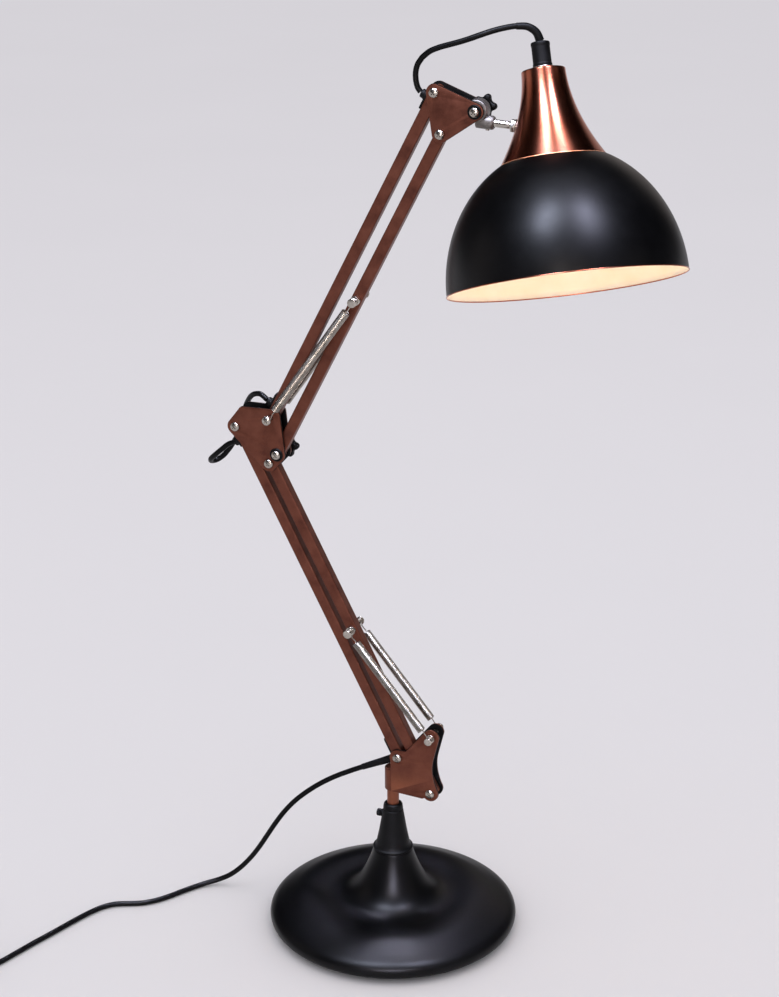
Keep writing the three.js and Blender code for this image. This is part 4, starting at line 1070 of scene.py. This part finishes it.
def make_spring(name, start, end, side, node):
    """Close-wound extension spring with a full hook on each end, in its own wire."""
    coil_radius, wire_radius, wire_pitch = 3.5, 0.48, 1.08
    hook, hook_radius = 11, 2.9
    lift = Vector((0, 1, 0))
    a = start / MM + lift * side * SPRING_PLANE
    b = end / MM + lift * side * SPRING_PLANE
    along = (b - a).normalized()
    across = lift.cross(along)
    span = (b - a).length
    turns = round((span - 2 * hook) / wire_pitch)
    half = []
    for angle in steps(-150, 90, 20):
        t = math.radians(angle)
        half.append(-along * hook_radius * math.cos(t) + across * hook_radius * math.sin(t))
    bend = along * (hook_radius + 2.2)
    near = [a + p for p in half[:-3]] + [a + bend + across * 0.4]
    far_end = [b - (p.dot(along)) * along + p.dot(across) * across for p in half[:-3]]
    far = [b - bend + across * 0.4] + far_end[::-1]
    helix = []
    for share in steps(0, 1, turns * 12):
        angle = TURN * turns * share
        wind = (span - 2 * hook) * share + hook
        reach = coil_radius * min(1, share * turns / 0.4 + 0.25, (1 - share) * turns / 0.4 + 0.25)
        out = across * math.cos(angle) + lift * math.sin(angle)
        helix.append(a + along * wind + out * reach)
    path = catmull(near + [helix[0]], 3)[:-1] + helix + catmull([helix[-1]] + far, 3)[1:]
    made = piece(name, tube(path, wire_radius, 7), NICKEL)
    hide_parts(node)
    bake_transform(made)


def make_arms():
    bars = [
        ("lower_left", LOWER_LEFT, ELBOW_LEFT),
        ("lower_right", LOWER_RIGHT, ELBOW_RIGHT),
        ("upper_left", UPPER_LEFT, HEAD_LEFT),
        ("upper_right", UPPER_RIGHT, HEAD_RIGHT),
    ]
    for prefix, foot, top in bars:
        make_bar(prefix + "_square_tube", foot, top, prefix + "_bar", prefix + "_tube")
    exits = {"lower_left": (-1, 14), "upper_left": (9, 8)}
    for prefix, foot, top in bars[::2]:
        for end, exit_at in zip(("foot", "top"), exits[prefix]):
            make_grommet(f"{prefix}_{end}_bush", exit_at, foot, top, prefix + "_bar",
                         f"{prefix}_{end}_grommet", end == "top")
        carry_over(prefix + "_lead", PVC)
    anchors = (("lower", LOWER_ANCHOR), ("upper", UPPER_ANCHOR))
    for (arm, place), (prefix, foot, top) in zip(anchors, bars[1::2]):
        make_anchor(arm + "_spring_pin", place, foot, top, prefix + "_bar", prefix + "_anchor_pin")
    for side, sign in SIDES:
        make_spring(f"lower_coil_spring_{side}", STUD, LOWER_ANCHOR, sign,
                    f"lower_spring_{side}")
        make_spring(f"upper_coil_spring_{side}", UPPER_LEFT, UPPER_ANCHOR, sign,
                    f"upper_spring_{side}")


# ------------------------------------------------------------------ head
NECK_TOP = 41.6                     # rod to the neck's top, along the shade's axis
NECK_FOOT = 32.4
NECK_RADII = (18, 26.6, 43.3)       # at its top, at the rod and at its foot
SHADE_RADIUS = 98
SHADE_MOUTH = 132.9
WALL = 1.2
ROD_REACH = 34.3
ROD_DROP = 8.6                      # tilt axis to the rod's axis
HOLDER_LENGTH = 46

SHADE_UP = (middle("gland_ring") - middle("bulb_cap")).normalized()
SHADE_MIDDLE = middle("gland_ring") - SHADE_UP * (NECK_TOP + 1.3) * MM
SHADE_FRAME = placed(SHADE_MIDDLE, SHADE_UP, ROD_AXIS)
ROD_FRAME = placed(ROD_FOOT, ROD_AXIS, (0, 1, 0))


def neck_radius(h):
    top, at_rod, foot = NECK_RADII
    share = (h + NECK_TOP) / (NECK_TOP + NECK_FOOT)
    power = math.log((at_rod - top) / (foot - top)) / math.log(NECK_TOP / (NECK_TOP + NECK_FOOT))
    return top + (foot - top) * max(0, share) ** power


def dome_radius(h):
    squareness = math.sqrt(1 - (NECK_RADII[2] / SHADE_RADIUS) ** 2)
    height = (SHADE_MOUTH - NECK_FOOT) / squareness
    return SHADE_RADIUS * math.sqrt(max(0, 1 - ((SHADE_MOUTH - h) / height) ** 2))


def make_knuckle():
    """Die-cast knuckle on the tilt axis with a boss that holds the rod."""
    here = placed(TILT, Vector((0, 1, 0)).cross(-ROD_AXIS), ROD_AXIS)
    along_rod = (rotate(90, "Y"), shift(0, 0, -ROD_DROP))
    disc = eased([(0, -5.6), (8.7, -5.6), (9.5, -4.8), (9.5, 4.8), (8.7, 5.6), (0, 5.6)], 0.5, 3)
    disc = turn(lathe(disc, 64), ACROSS)
    boss = eased([(0, 0), (5.8, 0), (5.8, 13.2), (5, 15), (0, 15)], 0.6, 3)
    boss = turn(lathe(boss, 48), *along_rod)
    pin_hole = turn(cylinder(2.3, -9, 9, 32), ACROSS)
    rod_hole = turn(cylinder(3.5, -3, 17, 32), *along_rod)
    body = merged("DIFFERENCE", merged("UNION", disc, boss), pin_hole, rod_hole)
    piece("die_cast_knuckle", body, ZINC, here, "knuckle", ["head_knuckle"])
    grub = lathe([(0, 0), (1.6, 0), (1.6, 2.6), (0.9, 2.6), (0.7, 1.6), (0, 1.4)], 24)
    shape = turn(grub, rotate(180, "X"), shift(9.5, 0, -ROD_DROP - 4))
    piece("knuckle_grub_screw", shape, NICKEL, here, "knuckle")


def make_rod():
    rod = eased([(0, 2), (2.7, 2), (3.2, 2.6), (3.2, ROD_REACH - 7), (3.0, ROD_REACH - 6.6),
                 (3.0, ROD_REACH + 3.4), (2.6, ROD_REACH + 4), (0, ROD_REACH + 4)], 0.25, 3)
    piece("shade_rod_turned", lathe(rod, 48), NICKEL, ROD_FRAME, "shade", ["shade_rod"])
    nut = hexagon(9.6, 3.3, 3.15, ROD_REACH - 5)
    piece("shade_rod_nut", nut, NICKEL, ROD_FRAME, "shade", ["rod_nut"])
    levels = edges_eased(ROD_REACH - 1.6, ROD_REACH - 0.7, 0.2)
    washer = stack(circle(0, 0, 5.6, 48), levels, [(0, 0, 3.25)])
    piece("shade_rod_washer", washer, NICKEL, ROD_FRAME, "shade")


def on_shade(name, shape, finish, *nodes, slot=None):
    piece(name, shape, finish, SHADE_FRAME, "shade", nodes)


def make_neck():
    """Spun neck, flat-topped, with a hole for the rod in its side."""
    distances = steps(-NECK_TOP + 1.2, NECK_FOOT - 0.3, 40)
    top = NECK_RADII[0]
    outer = [(neck_radius(h), -h) for h in distances]
    foot = outer[-1][0]
    foot_lip = [(foot + 0.1, -NECK_FOOT + 0.1), (foot - 0.9, -NECK_FOOT + 0.05)]
    inner = [(r - WALL, z) for r, z in reversed(outer)]
    cap = [(top - 1.6, NECK_TOP - 1.3), (3.5, NECK_TOP - 1.3), (3.5, NECK_TOP),
           (top - 1.4, NECK_TOP), (top - 0.5, NECK_TOP - 0.25), (top - 0.05, NECK_TOP - 0.8)]
    neck = lathe([*outer, *foot_lip, *inner[:-1], *cap], 160, closes=True)
    hole = cylinder(3.5, 0, 50, 40)
    bmesh.ops.transform(hole, matrix=SHADE_FRAME.inverted() @ ROD_FRAME, verts=hole.verts)
    on_shade("spun_neck", merged("DIFFERENCE", neck, hole), COPPER, "shade_neck")


def make_dome():
    """Spun dome, black outside and cream inside, with a thin copper-coloured bead rolled round its
    mouth: painted glow of warm light on the rim's edge.
    """
    start = NECK_FOOT + 0.3
    around = [start + (SHADE_MOUTH - start) * t ** 1.5 for t in steps(0, 1, 60)]
    outer = [(dome_radius(h), -h) for h in around]
    inner = [(r - WALL, z) for r, z in reversed(outer)]
    lip = (SHADE_RADIUS, -SHADE_MOUTH + 0.6)
    dome = lathe([*outer[:-1], lip, *inner[1:]], 192, closes=True)
    for face in dome.faces:
        centre = face.calc_center_median() / MM
        reach = math.hypot(centre.x, centre.y)
        if reach < dome_radius(min(-centre.z, SHADE_MOUTH)) - WALL * 0.3:
            face.material_index = 1
    on_shade("spun_dome", dome, [LACQUER, ENAMEL], "shade_dome", slot="shade_black")
    # copper-coloured bead round the mouth: painted glow of warm light on the rim's edge
    bead = circle(SHADE_RADIUS, 0.35 - SHADE_MOUTH, 0.5, 12)
    on_shade("dome_glow_bead", lathe(bead, 192, closes=True), COPPER)


def make_bulb_and_holder():
    holder_top = NECK_TOP - WALL - 0.3
    end = holder_top - HOLDER_LENGTH
    ribs = []
    for z in steps(end + 6, end + 22, 5):
        ribs += [(17, z - 1), (16.4, z - 0.6), (16.4, z + 0.6), (17, z + 1)]
    holder = [(0, end + 22), (13.7, end + 22), (13.7, end), (17, end), *ribs, (17, holder_top - 8),
              (16.2, holder_top - 5), (10.2, holder_top), (0, holder_top)]
    on_shade("ribbed_lampholder", lathe(eased(holder, 0.3, 2), 72), NYLON, "lampholder")
    cap = [(0, end + 21.7), (5, end + 21.7), (12.4, end + 20)]
    for z in steps(end + 19, end - 2, 6)[:-1]:
        cap += [(12.95, z), (12.95, z - 1.2), (12.2, z - 2.2), (12.2, z - 2.8)]
    cap += [(13, end - 3.2), (13, end - 4), (0, end - 4)]
    on_shade("threaded_bulb_cap", lathe(eased(cap, 0.3, 2), 64), ALUMINIUM, "bulb_cap")
    glass_top = end - 4.3
    ball_radius = 28
    ball = glass_top - 22 - ball_radius * 0.8
    angles = steps(0, math.pi * 0.78, 36)
    crown = [(ball_radius * math.sin(a), ball - ball_radius * math.cos(a)) for a in angles]
    outer = crown + bend(crown[-1], (12.6, crown[-1][1] + 10), (12.9, glass_top))[1:]
    inner = [(max(0, r - 1), z + (1 if r < 1 else 0)) for r, z in reversed(outer)]
    on_shade("opal_bulb", lathe([*outer, *inner], 64), OPAL, "bulb_glass")


def make_gland():
    seat = NECK_TOP + 0.3
    ring = eased([(0, seat), (9.2, seat), (9.2, seat + 2), (0, seat + 2)], 0.4, 3)
    on_shade("gland_seat_ring", lathe(ring, 64), NICKEL, "gland_ring")
    sleeve = [(0, 0), (8, 0), (7.9, 2.2), (7.6, 2.6), (7.55, 16), (7.9, 18), (7.7, 19.6),
              (6.8, 20), (3.6, 20), (3.2, 17.5), (0, 17)]
    sleeve = eased([(radius, NECK_TOP + 2.6 + rise) for radius, rise in sleeve], 0.5, 3)
    on_shade("lead_gland", lathe(sleeve, 64), NYLON, "cable_gland")


# ------------------------------------------------------------------ stage and light
DOME = (0.12, 0, 0.68)
FOOT = (0, -0.04, 0.03)
COOL, WARM, BLUE = "#e2e2ff", "#fff2ee", "#dfe6ff"
GLOSS_LIGHTS = [
    # name, place, aimed at, width and height, watts, colour, spread in degrees
    ("top_left_softbox", (-0.24, -0.89, 2.5), DOME, (0.5, 0.8), 78, BLUE, 180),
    ("top_right_softbox", (0.84, -0.5, 2.55), DOME, (0.5, 0.8), 70, "#dfe2ff", 180),
    ("front_strip", (0.46, -2.3, 1.25), DOME, (0.12, 1.5), 18, WARM, 180),
    ("right_strip", (1.25, -2.0, 1.25), DOME, (0.07, 1.5), 8, WARM, 180),
    ("left_wall", (-2.3, -0.7, 1.2), DOME, (1.5, 1.2), 3, WARM, 180),
    ("right_wall", (2.5, -0.5, 1.2), DOME, (1.5, 1.2), 3, WARM, 180),
    ("back_wall", (0.2, 2.4, 1.2), DOME, (1.5, 1.2), 3, WARM, 180),
    ("rim_softbox", (-0.26, 0.7, 2.3), FOOT, (1.2, 0.22), 1.7, COOL, 12),
    ("foot_softbox", (0.8, -2.2, 1.05), FOOT, (0.34, 0.34), 0.3, COOL, 12),
]
WORLD_COLOUR, WORLD_STRENGTH = "#f4f3f6", 0.9
FLOOR_HALF = 14


def soft_light(name, place, aim, size, power, code, spread=180):
    data = bpy.data.lights.new(name, "AREA")
    data.shape = "RECTANGLE"
    data.size, data.size_y = size
    data.energy = power
    data.spread = math.radians(spread)
    data.color = linear(code)[:3]
    light = bpy.data.objects.new(name, data)
    light.location = place
    light.rotation_euler = (Vector(aim) - Vector(place)).to_track_quat("-Z", "Y").to_euler()
    bpy.context.scene.collection.objects.link(light)
    return light


def make_stage():
    shape = bmesh.new()
    bmesh.ops.create_grid(shape, x_segments=1, y_segments=1, size=FLOOR_HALF)
    mesh = bpy.data.meshes.new("studio_floor")
    shape.to_mesh(mesh)
    shape.free()
    mesh.materials.append(pale_floor())
    floor = bpy.data.objects.new("studio_floor", mesh)
    bpy.context.scene.collection.objects.link(floor)
    world = bpy.data.worlds.new("studio")
    world.use_nodes = True
    background = world.node_tree.nodes["Background"]
    background.inputs["Color"].default_value = linear(WORLD_COLOUR)
    background.inputs["Strength"].default_value = WORLD_STRENGTH
    world.cycles_visibility.glossy = False
    bpy.context.scene.world = world
    bpy.context.scene.view_settings.view_transform = "Standard"
    soft_light("ceiling_softbox", (0.1, -0.2, 3.4), (0, 0, 0), (2.6, 2.6), 16, "#f8f8ff")
    for row in GLOSS_LIGHTS:
        soft_light(*row).visible_diffuse = False      # draws highlights, lights no surface


make_camera()
make_cords(make_plug(), make_tie())
make_base()
make_thumbscrew()
make_lower_bracket()
make_elbow()
make_head_bracket()
make_arms()
make_knuckle()
make_rod()
make_neck()
make_dome()
make_bulb_and_holder()
make_gland()
make_stage()

bpy.context.view_layer.update()
